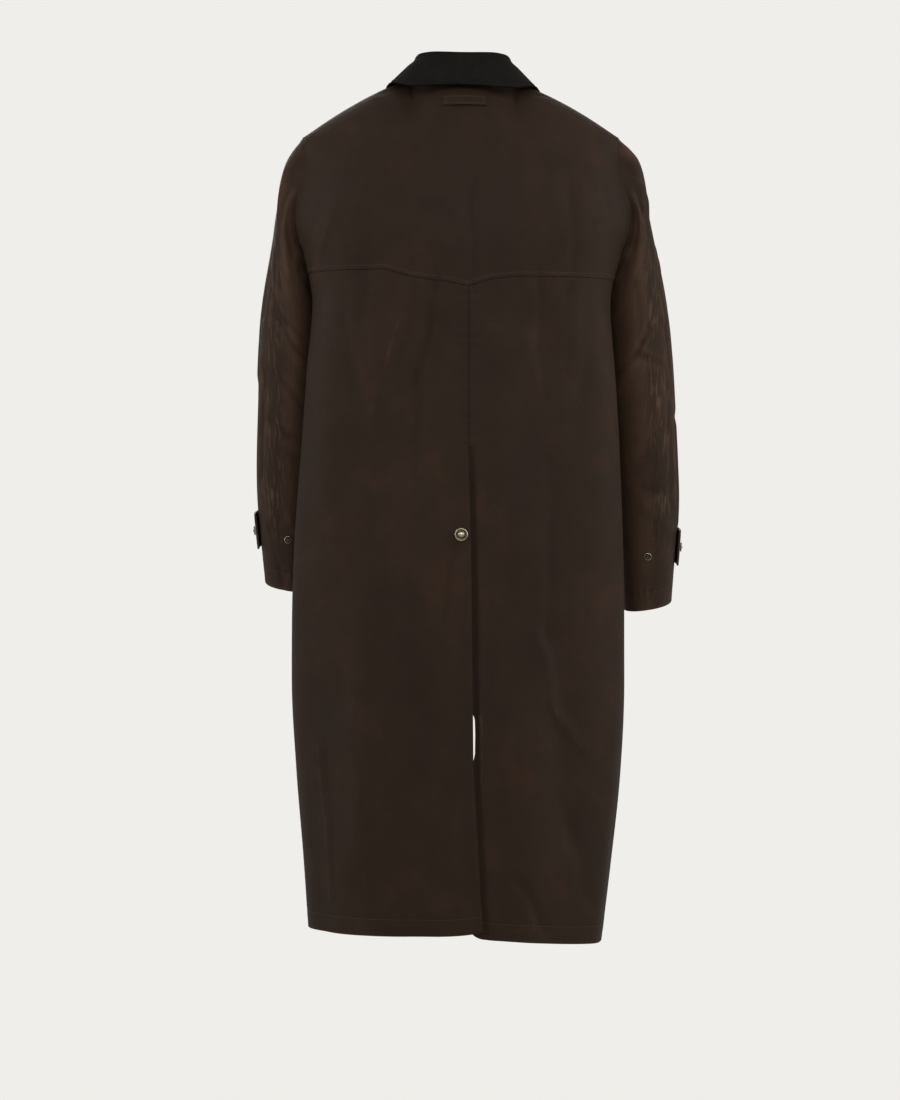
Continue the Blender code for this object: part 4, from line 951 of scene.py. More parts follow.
for side, name in ((1, "back_left"), (-1, "back_right")):
    q, level = back_panel_grid(side)
    points, normals = body(q, level), body_normal(q, level)
    if side > 0:
        points[..., 2] += vent_corner_lift(points[..., 0], level)
    else:
        points = points - normals * underlap_dip(q, level)[..., None]
        points[..., 2] += underlap_corner(edge_distance(points, 1, 0), level)
    from_centre, from_side = edge_distance(points, 1, 0), edge_distance(points, 1, -1)
    from_hem, from_top = edge_distance(points, 0, 0), edge_distance(points, 0, -1)
    in_seam = smooth((level - VENT_TOP) / 0.01)
    relief = groove(from_hem, HEM_WIDTH)
    relief += puckers(np.abs(from_hem - HEM_WIDTH), from_centre, PUCKERS_AT_STITCHES)
    if side > 0:
        relief += 0.5 * lap(from_centre) * smooth((level - 0.05) / 0.05) * (1.0 - 0.2 * in_seam)
    else:
        relief += 0.5 * tuck(from_centre) * in_seam
    relief += puckers(from_centre, level) * in_seam
    relief += 0.6 * tuck(from_top) + puckers(from_top, from_centre)
    relief += dip(from_side, *SEAM_DIP) + puckers(from_side, level, PUCKERS_AT_STITCHES)
    points = points + normals * relief[..., None]
    wear_and_shade = ridge_wear_and_hollow_shade(points, normals) + edge_wear_and_shade(from_hem, 0.28, 0.0022)
    # Painted shade: the cloth is darkened along the seam under the yoke, at the side seam and along the
    # centre seam above the vent.
    wear_and_shade -= edge_wear_and_shade(from_top, 0.30, 0.003) + edge_wear_and_shade(from_side, 0.12, 0.003)
    wear_and_shade -= edge_wear_and_shade(from_centre, 0.25, 0.003) * in_seam
    uv = np.stack([side * from_centre, level], axis=-1)
    panel = cloth_wall(name + "_cloth", points, normals, uv, wear_and_shade, (cotton, lining))
    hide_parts(name)
    row = nearest(from_hem[:, from_hem.shape[1] // 2], HEM_WIDTH)
    sewn = stitching("stitching_" + name, points, normals, [row])
    cloth_area(points)

# Back yoke
# One deep piece of the same cloth over the shoulders. Its pointed lower edge laps over the two
# lower panels and has one line of topstitching; it meets the fronts at the shoulder seams.
YOKE_STITCH = 0.0052
YOKE_HEIGHT = 0.320
YOKE_HALF_WIDTH = 0.270
# The cloth is eased smooth below each neck corner: place by x and height, reach, and rounds
NECK_CORNER = (0.075, -0.020)
EASE_REACH = 0.058
EASE_ROUNDS = 260


def yoke_half_grid(side):
    """q and level over half of the yoke, rows going up, columns from the centre out."""
    climb = spread(YOKE_HEIGHT)
    q_path, level_path = armhole(np.linspace(yoke_angle(side), 0.0, 200))
    level_edge = level_path[0] + climb * (level_path[-1] - level_path[0])
    q_edge = np.interp(level_edge, level_path, q_path)
    centre = (q_at(SEAM_X, level_edge[0]) * (1.0 - climb))[:, None]
    shares = spread(YOKE_HALF_WIDTH)
    shares = shares[: np.searchsorted(shares, 1.0)]
    shares = np.append(np.linspace(0.0, shares[8], 4), np.append(shares[9:], 1.0))
    q = centre + (side * q_edge[:, None] - centre) * shares[None, :]
    seam = yoke_seam_level(q)
    return q, seam + climb[:, None] * (SHOULDER_LINE - seam)


def eased(points, normals):
    """The yoke with its crease below the neck corners smoothed out, edges kept."""
    across = np.abs(points[..., 0]) - NECK_CORNER[0]
    share = smooth(1.0 - np.hypot(across, points[..., 2] - NECK_CORNER[1]) / EASE_REACH)
    share *= smooth((edge_distance(points, 0, -1) - 0.002) / 0.012)
    points = points.copy()
    for _ in range(EASE_ROUNDS):
        middle = (points[:-2, 1:-1] + points[2:, 1:-1] + points[1:-1, :-2] + points[1:-1, 2:]) / 4.0
        move = np.sum((middle - points[1:-1, 1:-1]) * normals[1:-1, 1:-1], axis=-1) * share[1:-1, 1:-1]
        points[1:-1, 1:-1] += 0.8 * move[..., None] * normals[1:-1, 1:-1]
    return points


left_q, left_level = yoke_half_grid(1)
right_q, right_level = yoke_half_grid(-1)
q = np.concatenate([right_q[:, :0:-1], left_q], axis=1)
level = np.concatenate([right_level[:, :0:-1], left_level], axis=1)
normals = body_normal(q, level)
points = eased(body(q, level), normals)
from_seam = edge_distance(points, 0, 0)
from_top = edge_distance(points, 0, -1)
across = edge_distance(points, 1, 0)
from_armhole = np.minimum(across, edge_distance(points, 1, -1))
relief = 0.7 * lap(from_seam) + groove(from_seam, YOKE_STITCH)
relief += puckers(from_seam, across, 0.026)
relief += 0.25 * lap(from_armhole) + 1.3 * puckers(from_armhole, level, 0.024)
relief += dip(from_top, *SEAM_DIP)
points = points + normals * relief[..., None]
wear_and_shade = ridge_wear_and_hollow_shade(points, normals)
patchy = (0.5 + 0.5 * np.sin(across / 0.019 + 1.7 * np.sin(across / 0.047))) ** 2
wear_and_shade += (0.26 * patchy - 0.04) * bell(from_seam - YOKE_STITCH, 0.0018)
# Painted shade: darker along the yoke's lapped lower edge and beside the armholes.
wear_and_shade -= edge_wear_and_shade(from_seam, 0.25, 0.0018) + edge_wear_and_shade(from_armhole, 0.15, 0.004)
yoke = cloth_wall("back_yoke_cloth", points, normals, np.stack([across, level], axis=-1), wear_and_shade,
                  (cotton, lining))
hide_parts("back_yoke")
row = nearest(from_seam[:, 60], YOKE_STITCH)
sewn = stitching("stitching_yoke", points, normals, [np.s_[row, 4:-4]])
cloth_area(points)

# Fronts
# Two fronts hang open from neck to hem, plainly finished: a turned facing stitched down each
# front edge, a stitched hem, and the seams to the yoke, the sleeves and the back panels.
FRONT_FACING = 0.062
STITCH_FROM_EDGE = 0.0055
# The weave's start across the cloth, clear of the back panels' own
PATTERN_SHIFT = 0.3


def front_grid():
    """q and level over one front, from the side and armhole to the front edge."""
    low = spread(ARMPIT) * ARMPIT
    low = low[low <= ARMPIT - FINE_REACH]
    angles = np.linspace(180.0, 360.0, 400)
    q_path, level_path = armhole(angles)
    rise = spread(SHOULDER_LINE - ARMPIT)[1:]
    level_edge = ARMPIT + rise * (SHOULDER_LINE - ARMPIT)
    q_edge = np.interp(level_edge, level_path, q_path)
    between = np.linspace(low[-1], ARMPIT, 6)[1:]
    level = np.concatenate([low, between, level_edge])
    q_edge = np.concatenate([np.ones(len(low) + 5), q_edge])
    shares = spread(PANEL_WIDTH)[None, :]
    q = q_edge[:, None] + (2.0 - q_edge[:, None]) * shares
    return q, np.repeat(level[:, None], shares.shape[1], axis=1)


q, level = front_grid()
for side, name in ((1, "front_left"), (-1, "front_right")):
    points, normals = body(side * q, level), body_normal(side * q, level)
    from_side, from_edge = edge_distance(points, 1, 0), edge_distance(points, 1, -1)
    from_hem, from_top = edge_distance(points, 0, 0), edge_distance(points, 0, -1)
    at_armhole = smooth((level - ARMPIT) / 0.01)
    relief = groove(from_hem, HEM_WIDTH) + groove(from_edge, STITCH_FROM_EDGE)
    relief += groove(from_edge, FRONT_FACING)
    relief += puckers(np.abs(from_hem - HEM_WIDTH), from_side, PUCKERS_AT_STITCHES)
    relief += 0.6 * puckers(np.abs(from_edge - FRONT_FACING), level, 0.014)
    relief += 0.25 * lap(from_side) * at_armhole
    relief += puckers(from_side, level, 0.020)
    relief += dip(from_side, *SEAM_DIP) * (1.0 - at_armhole)
    relief += 0.6 * lap(from_top) + groove(from_top, STITCH_FROM_EDGE)
    points = points + normals * relief[..., None]
    wear_and_shade = ridge_wear_and_hollow_shade(points, normals) + edge_wear_and_shade(np.minimum(from_hem, from_edge), 0.28, 0.0024)
    uv = np.stack([side * (from_side + PATTERN_SHIFT), level], axis=-1)
    panel = cloth_wall(name + "_cloth", points, normals, uv, wear_and_shade, (cotton, lining))
    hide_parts(name)
    lines = [nearest(from_hem[:, 30], HEM_WIDTH)]
    lines += [np.s_[4:-6, nearest(from_edge[120], line)] for line in (STITCH_FROM_EDGE, FRONT_FACING)]
    lines.append(np.s_[nearest(from_top[:, 20], STITCH_FROM_EDGE), 4:-4])
    sewn = stitching("stitching_" + name, points, normals, lines)
    cloth_area(points)

# Sleeves
# Two long set-in sleeves of the same cloth, open at the cuffs. They hang a little away from
# the sides, bent slightly forward, with slanting creases at the elbow and fine upright ones.
SLEEVE_COLUMNS = ("outer_x", "inner_x", "back_x", "front_x", "back_y", "front_y",
                  "outer_z", "inner_z", "back_z", "front_z", "spread")
SLEEVE_ROWS = (
    (0.2550, 0.2075, 0.260, 0.236, 0.073, -0.092, -0.103, -0.325, -0.232, -0.228, -0.10),
    (0.2678, 0.2080, 0.262, 0.242, 0.067, -0.098, -0.160, -0.347, -0.278, -0.268, -0.15),
    (0.2808, 0.2080, 0.258, 0.246, 0.056, -0.101, -0.235, -0.372, -0.322, -0.310, 0.30),
    (0.2950, 0.2075, 0.257, 0.250, 0.045, -0.103, -0.315, -0.425, -0.385, -0.375, 0.38),
    (0.3050, 0.2110, 0.259, 0.257, 0.028, -0.105, -0.480, -0.505, -0.500, -0.475, 0.62),
    (0.3070, 0.2160, 0.262, 0.261, 0.012, -0.112, -0.590, -0.605, -0.605, -0.582, 0.80),
    (0.2955, 0.2225, 0.258, 0.257, -0.005, -0.118, -0.728, -0.740, -0.744, -0.716, 1.00),
)
RIGHT_SLEEVE_SPREAD = 0.0165
RIGHT_SLEEVE_DROP = 0.028
# The cloth turns out of the armhole seam on this radius, with this step after it, past a gap
TURN_RADIUS = 0.0032
TURN_STEP = 0.0020
SEAM_GAP = 0.0003
# Folds: angle and place in rings of the start and of the end, width, depth
SLEEVE_FOLDS = (
    (20.0, 5.2, 120.0, 6.0, 0.016, -0.0040),
    (60.0, 5.7, 165.0, 6.3, 0.015, 0.0030),
    (195.0, 6.6, 300.0, 6.9, 0.016, -0.0045),
    (215.0, 7.1, 320.0, 6.7, 0.015, 0.0040),
    (40.0, 6.8, 130.0, 7.6, 0.016, -0.0035),
    (330.0, 5.4, 350.0, 7.2, 0.014, -0.0030),
)
# Metres for one radian round a sleeve and for one ring down it, and how its folds fade
SLEEVE_RADIUS = 0.060
RING_STEP = 0.10
SLEEVE_FOLD_FADE = 0.03
# Small creases: angle round the sleeve (0 outer, 90 back, 180 inner, 270 front) and height of
# the start and of the end, width, depth
ARM_CREASE_FADE = 0.02
LEFT_ARM_CREASES = (
    (62.0, -0.335, 118.0, -0.372, 0.0060, -0.0014),
    (58.0, -0.352, 100.0, -0.380, 0.0070, 0.0009),
    (48.0, -0.250, 52.0, -0.345, 0.0050, 0.0024),
    (66.0, -0.225, 74.0, -0.300, 0.0050, -0.0022),
    (84.0, -0.215, 104.0, -0.275, 0.0060, 0.0022),
    (20.0, -0.140, 22.0, -0.330, 0.0055, -0.0022),
    (8.0, -0.180, 4.0, -0.420, 0.0050, 0.0024),
    (30.0, -0.400, 26.0, -0.560, 0.0060, 0.0022),
    (40.0, -0.430, 36.0, -0.570, 0.0055, -0.0022),
    (12.0, -0.470, 16.0, -0.600, 0.0050, -0.0022),
    (70.0, -0.430, 120.0, -0.470, 0.0080, -0.0024),
    (60.0, -0.500, 112.0, -0.525, 0.0080, -0.0022),
    (55.0, -0.655, 75.0, -0.730, 0.0070, -0.0020),
    (100.0, -0.640, 130.0, -0.700, 0.0080, 0.0018),
    (230.0, -0.300, 300.0, -0.345, 0.0080, -0.0026),
    (240.0, -0.420, 310.0, -0.455, 0.0085, -0.0030),
    (225.0, -0.445, 300.0, -0.490, 0.0080, 0.0024),
    (320.0, -0.160, 325.0, -0.320, 0.0065, -0.0022),
    (340.0, -0.380, 338.0, -0.560, 0.0060, 0.0020),
    (290.0, -0.560, 330.0, -0.600, 0.0080, -0.0022),
)
RIGHT_ARM_CREASES = (
    (60.0, -0.400, 96.0, -0.385, 0.0050, 0.0010),
    (58.0, -0.412, 100.0, -0.398, 0.0060, -0.0010),
    (84.0, -0.160, 66.0, -0.215, 0.0060, -0.0026),
    (52.0, -0.175, 48.0, -0.250, 0.0050, 0.0022),
    (44.0, -0.240, 38.0, -0.340, 0.0045, 0.0026),
    (34.0, -0.220, 30.0, -0.400, 0.0045, -0.0028),
    (24.0, -0.260, 22.0, -0.460, 0.0040, 0.0028),
    (14.0, -0.180, 12.0, -0.380, 0.0045, -0.0026),
    (5.0, -0.240, 2.0, -0.470, 0.0045, 0.0024),
    (28.0, -0.470, 30.0, -0.620, 0.0045, 0.0028),
    (18.0, -0.420, 20.0, -0.600, 0.0045, -0.0026),
    (38.0, -0.440, 42.0, -0.600, 0.0050, -0.0022),
    (8.0, -0.500, 10.0, -0.640, 0.0040, 0.0024),
    (96.0, -0.590, 30.0, -0.622, 0.0090, -0.0012),
    (100.0, -0.620, 44.0, -0.648, 0.0080, 0.0009),
    (104.0, -0.300, 96.0, -0.380, 0.0080, -0.0012),
    (230.0, -0.320, 300.0, -0.365, 0.0080, -0.0026),
    (240.0, -0.450, 310.0, -0.480, 0.0085, -0.0030),
    (225.0, -0.470, 300.0, -0.515, 0.0080, 0.0024),
    (325.0, -0.180, 330.0, -0.340, 0.0065, -0.0022),
    (340.0, -0.400, 338.0, -0.590, 0.0060, 0.0020),
    (285.0, -0.590, 330.0, -0.630, 0.0080, -0.0022),
)
# Columns round a sleeve, its length and row distance, and the share of it between two rings;
# the last part of the last stretch has closer rows
SLEEVE_GIRTH_COLUMNS = 118
SLEEVE_LENGTH = 0.66
SLEEVE_ROW_STEP = 0.0040
SLEEVE_LENGTH_SHARES = (0.022, 0.010, 0.10, 0.10, 0.14, 0.14, 0.24, 0.10, 0.14)
CUFF_PART = 0.30
CUFF_ROWS = 28
CUFF_HEM = 0.026
# Small gathers below the armhole seam: height and distance from one to the next
GATHER = 0.0004
GATHER_PITCH = 0.019
# The head goes in under the seam by this much
SEAM_TUCK = 0.004
# Fine upright crinkles on the outer back of each sleeve, light lines partly a painted highlight: the
# middle of their band and its half width as angles, how far down they go, and how strong they are
CRINKLE_ANGLE = 58.0
CRINKLE_REACH = 27.0
CRINKLE_LENGTH = {"sleeve_left": 0.62, "sleeve_right": 0.60}
CRINKLE_SHARE = {"sleeve_left": 0.8, "sleeve_right": 1.0}


def armhole_frame(side, angle):
    """Edge points of the armhole, with the cloth's normal and the way on into the hole."""
    def edge(at):
        q, level = armhole(at)
        return body(side * q, level)
    q, level = armhole(angle)
    points = edge(angle)
    normals = body_normal(side * q, level)
    along = unit(edge(angle + 0.5) - edge(angle - 0.5))
    onward = unit(np.cross(along, normals)) * side
    return points, normals, onward


def sleeve_ring(row, side, angle):
    """One ring through its outer, back, inner and front points: first and second harmonics."""
    ring = dict(zip(SLEEVE_COLUMNS, SLEEVE_ROWS[row]))
    turn = np.radians(angle)
    spread = RIGHT_SLEEVE_SPREAD * ring["spread"] if side < 0 else 0.0
    drop = RIGHT_SLEEVE_DROP * ring["spread"] if side < 0 else 0.0
    y = ((ring["back_y"] + ring["front_y"]) / 2.0
         + (ring["back_y"] - ring["front_y"]) / 2.0 * np.sin(turn))
    through = {}
    for axis in ("x", "z"):
        outer, inner = ring["outer_" + axis], ring["inner_" + axis]
        back, front = ring["back_" + axis], ring["front_" + axis]
        through[axis] = ((outer + inner + back + front) / 4.0
                         + (outer - inner) / 2.0 * np.cos(turn)
                         + (back - front) / 2.0 * np.sin(turn)
                         + (outer + inner - back - front) / 4.0 * np.cos(2.0 * turn))
    return np.stack([side * (through["x"] + spread), y, through["z"] - drop], axis=-1)


def sleeve_rings(side, angle):
    """All rings at these angles: the seam, a small turn out of it, then the table's rings."""
    points, normals, onward = armhole_frame(side, angle)
    first = sleeve_ring(0, side, angle)
    away = first - points
    bend = np.arctan2(np.sum(away * normals, axis=-1), np.sum(away * onward, axis=-1))
    rings = [points + onward * SEAM_GAP]
    for share in (0.5, 1.0):
        turned = (bend * share)[..., None]
        arc = (onward * np.sin(np.abs(turned)) + normals * np.sign(turned)
               * (1.0 - np.cos(turned))) * TURN_RADIUS
        heading = onward * np.cos(turned) + normals * np.sin(turned)
        rings.append(points + onward * SEAM_GAP + arc + heading * TURN_STEP * 2.0 * share)
    rings += [sleeve_ring(row, side, angle) for row in range(len(SLEEVE_ROWS))]
    return np.stack(rings)


def sleeve_folds(angle, place):
    """Push in or out by the sleeve's folds, as on the body."""
    push = np.zeros_like(place)
    scale = np.radians(1.0) * SLEEVE_RADIUS
    for angle_start, place_start, angle_end, place_end, width, depth in SLEEVE_FOLDS:
        along, across, length = beside_line((angle - angle_start) * scale,
                                            (place - place_start) * RING_STEP,
                                            (angle_end - angle_start) * scale,
                                            (place_end - place_start) * RING_STEP)
        fade = fade_ends(along, length, SLEEVE_FOLD_FADE)
        push += depth * fade * bell(across, width)
    return push


def sleeve(side, angle, place):
    """A point of a sleeve: angle in degrees round it, place in rings from the seam down."""
    angle, place = np.broadcast_arrays(np.asarray(angle, float), np.asarray(place, float))
    rings = sleeve_rings(side, angle)
    steps = np.maximum(np.linalg.norm(np.diff(rings, axis=0), axis=-1, keepdims=True), 1e-6)
    slopes = line_slopes(rings, steps)
    index = np.clip(np.floor(place).astype(int), 0, len(rings) - 2)
    point = curve_between(at_lines(rings, index), at_lines(rings, index + 1),
                          at_lines(slopes, index), at_lines(slopes, index + 1),
                          at_lines(steps, index), (place - index)[..., None])
    turn = np.radians(angle)[..., None]
    outward = np.concatenate([side * np.cos(turn), np.sin(turn), np.zeros_like(turn)], axis=-1)
    return point + outward * sleeve_folds(np.mod(angle, 360.0), place)[..., None]


def sleeve_grid():
    """Angles and places over a sleeve: even columns round it, rows from the seam to the cuff."""
    angle = np.linspace(0.0, 360.0, SLEEVE_GIRTH_COLUMNS, endpoint=False)
    places = [0.0]
    for stretch, share in enumerate(SLEEVE_LENGTH_SHARES):
        count = max(3, round(share * SLEEVE_LENGTH / SLEEVE_ROW_STEP))
        places += list(stretch + (np.arange(count) + 1.0) / count)
    places = np.array(places)
    upper = places[places <= places[-1] - CUFF_PART]
    places = np.concatenate([upper, np.linspace(upper[-1], places[-1], CUFF_ROWS)[1:]])
    return angle[None, :], places[:, None]


def arm_crease_push(angle, height, table):
    """Push of the small creases of a sleeve, by angle and height."""
    push = np.zeros(np.broadcast(angle, height).shape)
    scale = np.radians(1.0) * SLEEVE_RADIUS
    for angle_start, z_start, angle_end, z_end, width, depth in table:
        turned = (np.mod(angle - angle_start + 180.0, 360.0) - 180.0) * scale
        along, across, length = beside_line(turned, height - z_start,
                                            (angle_end - angle_start) * scale, z_end - z_start)
        across = across + CREASE_WAVER * width * np.sin(along / 0.023 + angle_start)
        fade = fade_ends(along, length, ARM_CREASE_FADE, beyond=ARM_CREASE_FADE)
        push += depth * fade * bell(across, width)
    return push


def grid_normals(points, closed, flip):
    """Outward normals of a grid of points, from its neighbours both ways."""
    down = np.gradient(points, axis=0)
    wide = np.concatenate([points[:, -1:], points, points[:, :1]], axis=1) if closed else points
    round_it = np.gradient(wide, axis=1)
    round_it = round_it[:, 1:-1] if closed else round_it
    return unit(np.cross(round_it, down)) * flip


for side, name, creases in ((1, "sleeve_left", LEFT_ARM_CREASES), (-1, "sleeve_right", RIGHT_ARM_CREASES)):
    angle, place = sleeve_grid()
    points = sleeve(side, angle, place)
    normals = grid_normals(points, True, -side)
    seam_share = smooth(1.0 - place)[..., None]
    edge_normals, onward = armhole_frame(side, angle)[1:]
    normals = unit(normals * (1.0 - seam_share) + edge_normals * seam_share)
    from_seam, from_cuff = edge_distance(points, 0, 0), edge_distance(points, 0, -1)
    round_it = np.radians(angle) * SLEEVE_RADIUS + 0.0 * place
    fade = smooth(from_seam / 0.05)
    relief = arm_crease_push(angle, points[..., 2], creases) * fade
    relief += GATHER * np.sin(2.0 * PI * round_it / GATHER_PITCH) * bell(from_seam - 0.012, 0.016)
    relief += 0.5 * tuck(from_seam, 0.005) + groove(from_cuff, CUFF_HEM)
    relief += puckers(np.abs(from_cuff - CUFF_HEM), round_it, PUCKERS_AT_STITCHES)
    points = points + normals * relief[..., None]
    normals = grid_normals(points, True, -side)
    normals = unit(normals * (1.0 - seam_share) + edge_normals * seam_share)
    tucked = points[:1] - onward * SEAM_TUCK - edge_normals * CLOTH * 0.9
    points = np.concatenate([tucked, points])
    normals = np.concatenate([edge_normals, normals])
    round_it = np.concatenate([round_it[:1], round_it])
    from_seam, from_cuff = edge_distance(points, 0, 0), edge_distance(points, 0, -1)
    # Painted light: the value is raised a little all over, more on the sleeve's outer side as a painted
    # highlight and most on its inner back where the body shades it; near the armhole seam it is lowered as
    # painted shade.
    painted_highlight_outer_side = smooth((np.cos(np.radians(angle - 15.0)) - 0.55) / 0.45)
    painted_light_inner_back = smooth((np.cos(np.radians(angle - 148.0)) - 0.15) / 0.65)
    wear_and_shade = 0.5 + 0.5 * (ridge_wear_and_hollow_shade(points, normals, tube=True) - 0.5) + edge_wear_and_shade(from_cuff, 0.24, 0.0026)
    wear_and_shade += 0.06 + 0.12 * painted_highlight_outer_side + 0.38 * painted_light_inner_back - edge_wear_and_shade(from_seam, 0.20, 0.007)
    piece = cloth_wall(name + "_cloth", points, normals, np.stack([round_it, -from_seam], axis=-1), wear_and_shade,
                       (cotton, lining), tube=True)
    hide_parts(name)
    outer_back = bell(angle - CRINKLE_ANGLE, CRINKLE_REACH) * smooth((from_seam - 0.035) / 0.07)
    outer_back *= smooth((CRINKLE_LENGTH[name] - from_seam) / 0.12) * CRINKLE_SHARE[name]
    point_values(piece, "crinkle", np.tile(outer_back.ravel(), 2))
    all_round = np.append(np.arange(SLEEVE_GIRTH_COLUMNS), 0)
    sewn = stitching("stitching_" + name, points, normals,
                     [(nearest(from_cuff[:, 0], CUFF_HEM), all_round)])
    cloth_area(points, tube=True)

# Collar
# A turned-down collar of black fine-wale corduroy in one strip: up the stand, over the fold and
# down to a free edge, with upright ribs of soft pile and a turned, rounded edge.
COLLAR_WALL = 0.0024
COLLAR_COLUMNS = ("fold_x", "fold_y", "fold_z", "edge_x", "edge_y", "edge_z")
COLLAR_STATIONS = (
    (0.000, 0.058, 0.0430, 0.000, 0.090, -0.0080),
    (0.051, 0.040, 0.0460, 0.073, 0.072, -0.0070),
    (0.068, -0.002, 0.0420, 0.109, 0.002, 0.0050),
    (0.059, -0.046, 0.0110, 0.116, -0.066, -0.0280),
    (0.042, -0.080, -0.0300, 0.092, -0.122, -0.1000),
)
# Radius of the fold, the leaf's outward bulge, and how much lower the right side lies
COLLAR_TURN = 0.0035
COLLAR_BULGE = 0.0008
COLLAR_SIDE_LOWER = 0.006
WALE_PITCH = 0.0026
# Stitch line from the free edge, and the edge's rounding: depth and width
COLLAR_STITCH = 0.006
COLLAR_ROUNDING = (0.0007, 0.0012)


def collar_station(column, station):
    """A column of the collar table read smoothly at a station, 0 centre back, 4 front end."""
    values = np.array(COLLAR_STATIONS)[:, COLLAR_COLUMNS.index(column)]
    mirror = -1.0 if column.endswith("_x") else 1.0
    padded = np.concatenate([[mirror * values[1]], values, [2.0 * values[-1] - values[-2]]])
    index = np.clip(np.floor(station).astype(int), 0, len(values) - 2)
    share = station - index
    before, start = padded[index], padded[index + 1]
    end, after = padded[index + 2], padded[index + 3]
    return 0.5 * (2.0 * start + (end - before) * share
                  + (2.0 * before - 5.0 * start + 4.0 * end - after) * share ** 2
                  + (3.0 * (start - end) + after - before) * share ** 3)


def collar_path(side, station):
    """The collar's section at each station: up the stand, over the fold, down to the edge."""
    turn = np.where(station <= 2.0, NECK_SHARE * station / 2.0,
                    2.0 - NECK_SHARE * (4.0 - station) / 2.0)
    q = side * turn
    seam = body(q, SHOULDER_LINE)
    normal = body_normal(q, SHOULDER_LINE)
    onward = unit(np.cross(np.gradient(seam, axis=0), normal)) * side
    lower = COLLAR_SIDE_LOWER * np.clip(station / 2.0, 0.0, 1.0) if side < 0 else 0.0
    fold = np.stack([side * collar_station("fold_x", station), collar_station("fold_y", station),
                     collar_station("fold_z", station) - 0.5 * lower], axis=-1)
    edge = np.stack([side * collar_station("edge_x", station), collar_station("edge_y", station),
                     collar_station("edge_z", station) - lower], axis=-1)
    out = unit((edge - fold) * (1.0, 1.0, 0.0))
    up = np.array((0.0, 0.0, 1.0))
    start = seam + onward * (COLLAR_WALL / 2.0 + SEAM_GAP)
    stand_top = fold - out * COLLAR_TURN - up * COLLAR_TURN * 1.3
    fall_top = fold + out * COLLAR_TURN - up * COLLAR_TURN * 1.1
    bulge = (out * 0.4 + up * 0.9) * COLLAR_BULGE
    return np.stack([start, start * 0.5 + stand_top * 0.5, stand_top,
                     fold - out * COLLAR_TURN * 0.6 - up * COLLAR_TURN * 0.25,
                     fold + out * COLLAR_TURN * 0.5,
                     fall_top, fall_top * 0.67 + edge * 0.33 + bulge,
                     fall_top * 0.33 + edge * 0.67 + bulge, edge])


def corduroy():
    """Black corduroy: ribs of pile with a soft sheen; the hollows between them are darker and brownish,
    partly their own ground colour and partly painted shade.
    """
    paint = Paint("corduroy", Specular_IOR_Level=0.06, Roughness=0.95)
    along = paint.cloth_place()[0]
    rib = (along * (2.0 * PI / WALE_PITCH)).maths("SINE") * 0.5 + 0.5
    fuzz = paint.noise(900.0, 2.0)
    cloud = paint.noise(40.0, 3.0)
    deep = (0.0040, 0.0037, 0.0032, 1.0)
    pile = (0.0098, 0.0091, 0.0078, 1.0)
    dusty = (0.0118, 0.0104, 0.0086, 1.0)
    # Partly painted shade: the colour goes darker towards the hollows between the ribs.
    colour = paint.blend(rib * 0.7 + fuzz * 0.3, deep, pile)
    colour = paint.blend(cloud.between(0.45, 0.7) * 0.4, colour, dusty)
    relief = paint.bump(rib, 0.0005)
    relief = paint.bump(fuzz, 0.00035, relief)
    return paint.finish(Base_Color=colour, Normal=relief)


half = np.linspace(0.0, 2.0, 111)
station = np.concatenate([half, half[1:] + 2.0])
left_path, right_path = collar_path(1, station), collar_path(-1, station)
path = np.concatenate([right_path[:, :0:-1], left_path], axis=1)
steps = np.linalg.norm(np.diff(path, axis=0), axis=-1).mean(axis=1)
knots = np.concatenate([[0.0], np.cumsum(steps)]) / steps.sum()
slopes = line_slopes(path, np.diff(knots)[:, None, None])
shares = np.linspace(0.0, 1.0, 64)
index = np.clip(np.searchsorted(knots, shares, side="right") - 1, 0, len(knots) - 2)
step = (knots[index + 1] - knots[index])[:, None, None]
share = ((shares - knots[index]) / (knots[index + 1] - knots[index]))[:, None, None]
points = curve_between(path[index], path[index + 1], slopes[index], slopes[index + 1], step, share)
normals = unit(np.cross(np.gradient(points, axis=0), np.gradient(points, axis=1)))
from_seam, from_edge = edge_distance(points, 0, 0), edge_distance(points, 0, -1)
along = edge_distance(points[40:41], 1, 0) + 0.0 * from_seam
from_ends = np.minimum(edge_distance(points, 1, 0), edge_distance(points, 1, -1))
free_edge = np.minimum(from_edge, from_ends)
relief = groove(free_edge, COLLAR_STITCH) + dip(free_edge, *COLLAR_ROUNDING)
relief += 0.5 * puckers(free_edge, along, 0.010)
points = points + normals * relief[..., None]
uv = np.stack([along, from_seam], axis=-1)
collar = cloth_wall("collar_cloth", points, normals, uv, 0.5 + 0.0 * along, (corduroy(),), wall=COLLAR_WALL)
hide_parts("collar")
cloth_area(points)

# Locker loop
# A short strap of the coat's cloth sewn to the yoke under the collar, bowed out a little
# in the middle, held by a bar of close stitches at each end.
LOOP_LEFT = 0.029
LOOP_RIGHT = -0.033
LOOP_LEVELS = (1.214, 1.231)
LOOP_WALL = 0.0020
LOOP_ARCH = 0.0018
LOOP_STITCH = 0.0022
LOOP_ROUNDING = (0.0003, 0.0008)
x, level = np.meshgrid(np.linspace(LOOP_RIGHT, LOOP_LEFT, 56), np.linspace(*LOOP_LEVELS, 15))
q = q_at(x, level)
share = (x - LOOP_RIGHT) / (LOOP_LEFT - LOOP_RIGHT)
clear = (CLOTH + LOOP_WALL) / 2.0 + SEAM_GAP * 2.0 + LOOP_ARCH * np.sin(PI * share) ** 2
normals = body_normal(q, level)
points = body(q, level) + normals * clear[..., None]
from_edge = np.minimum(edge_distance(points, 0, 0), edge_distance(points, 0, -1))
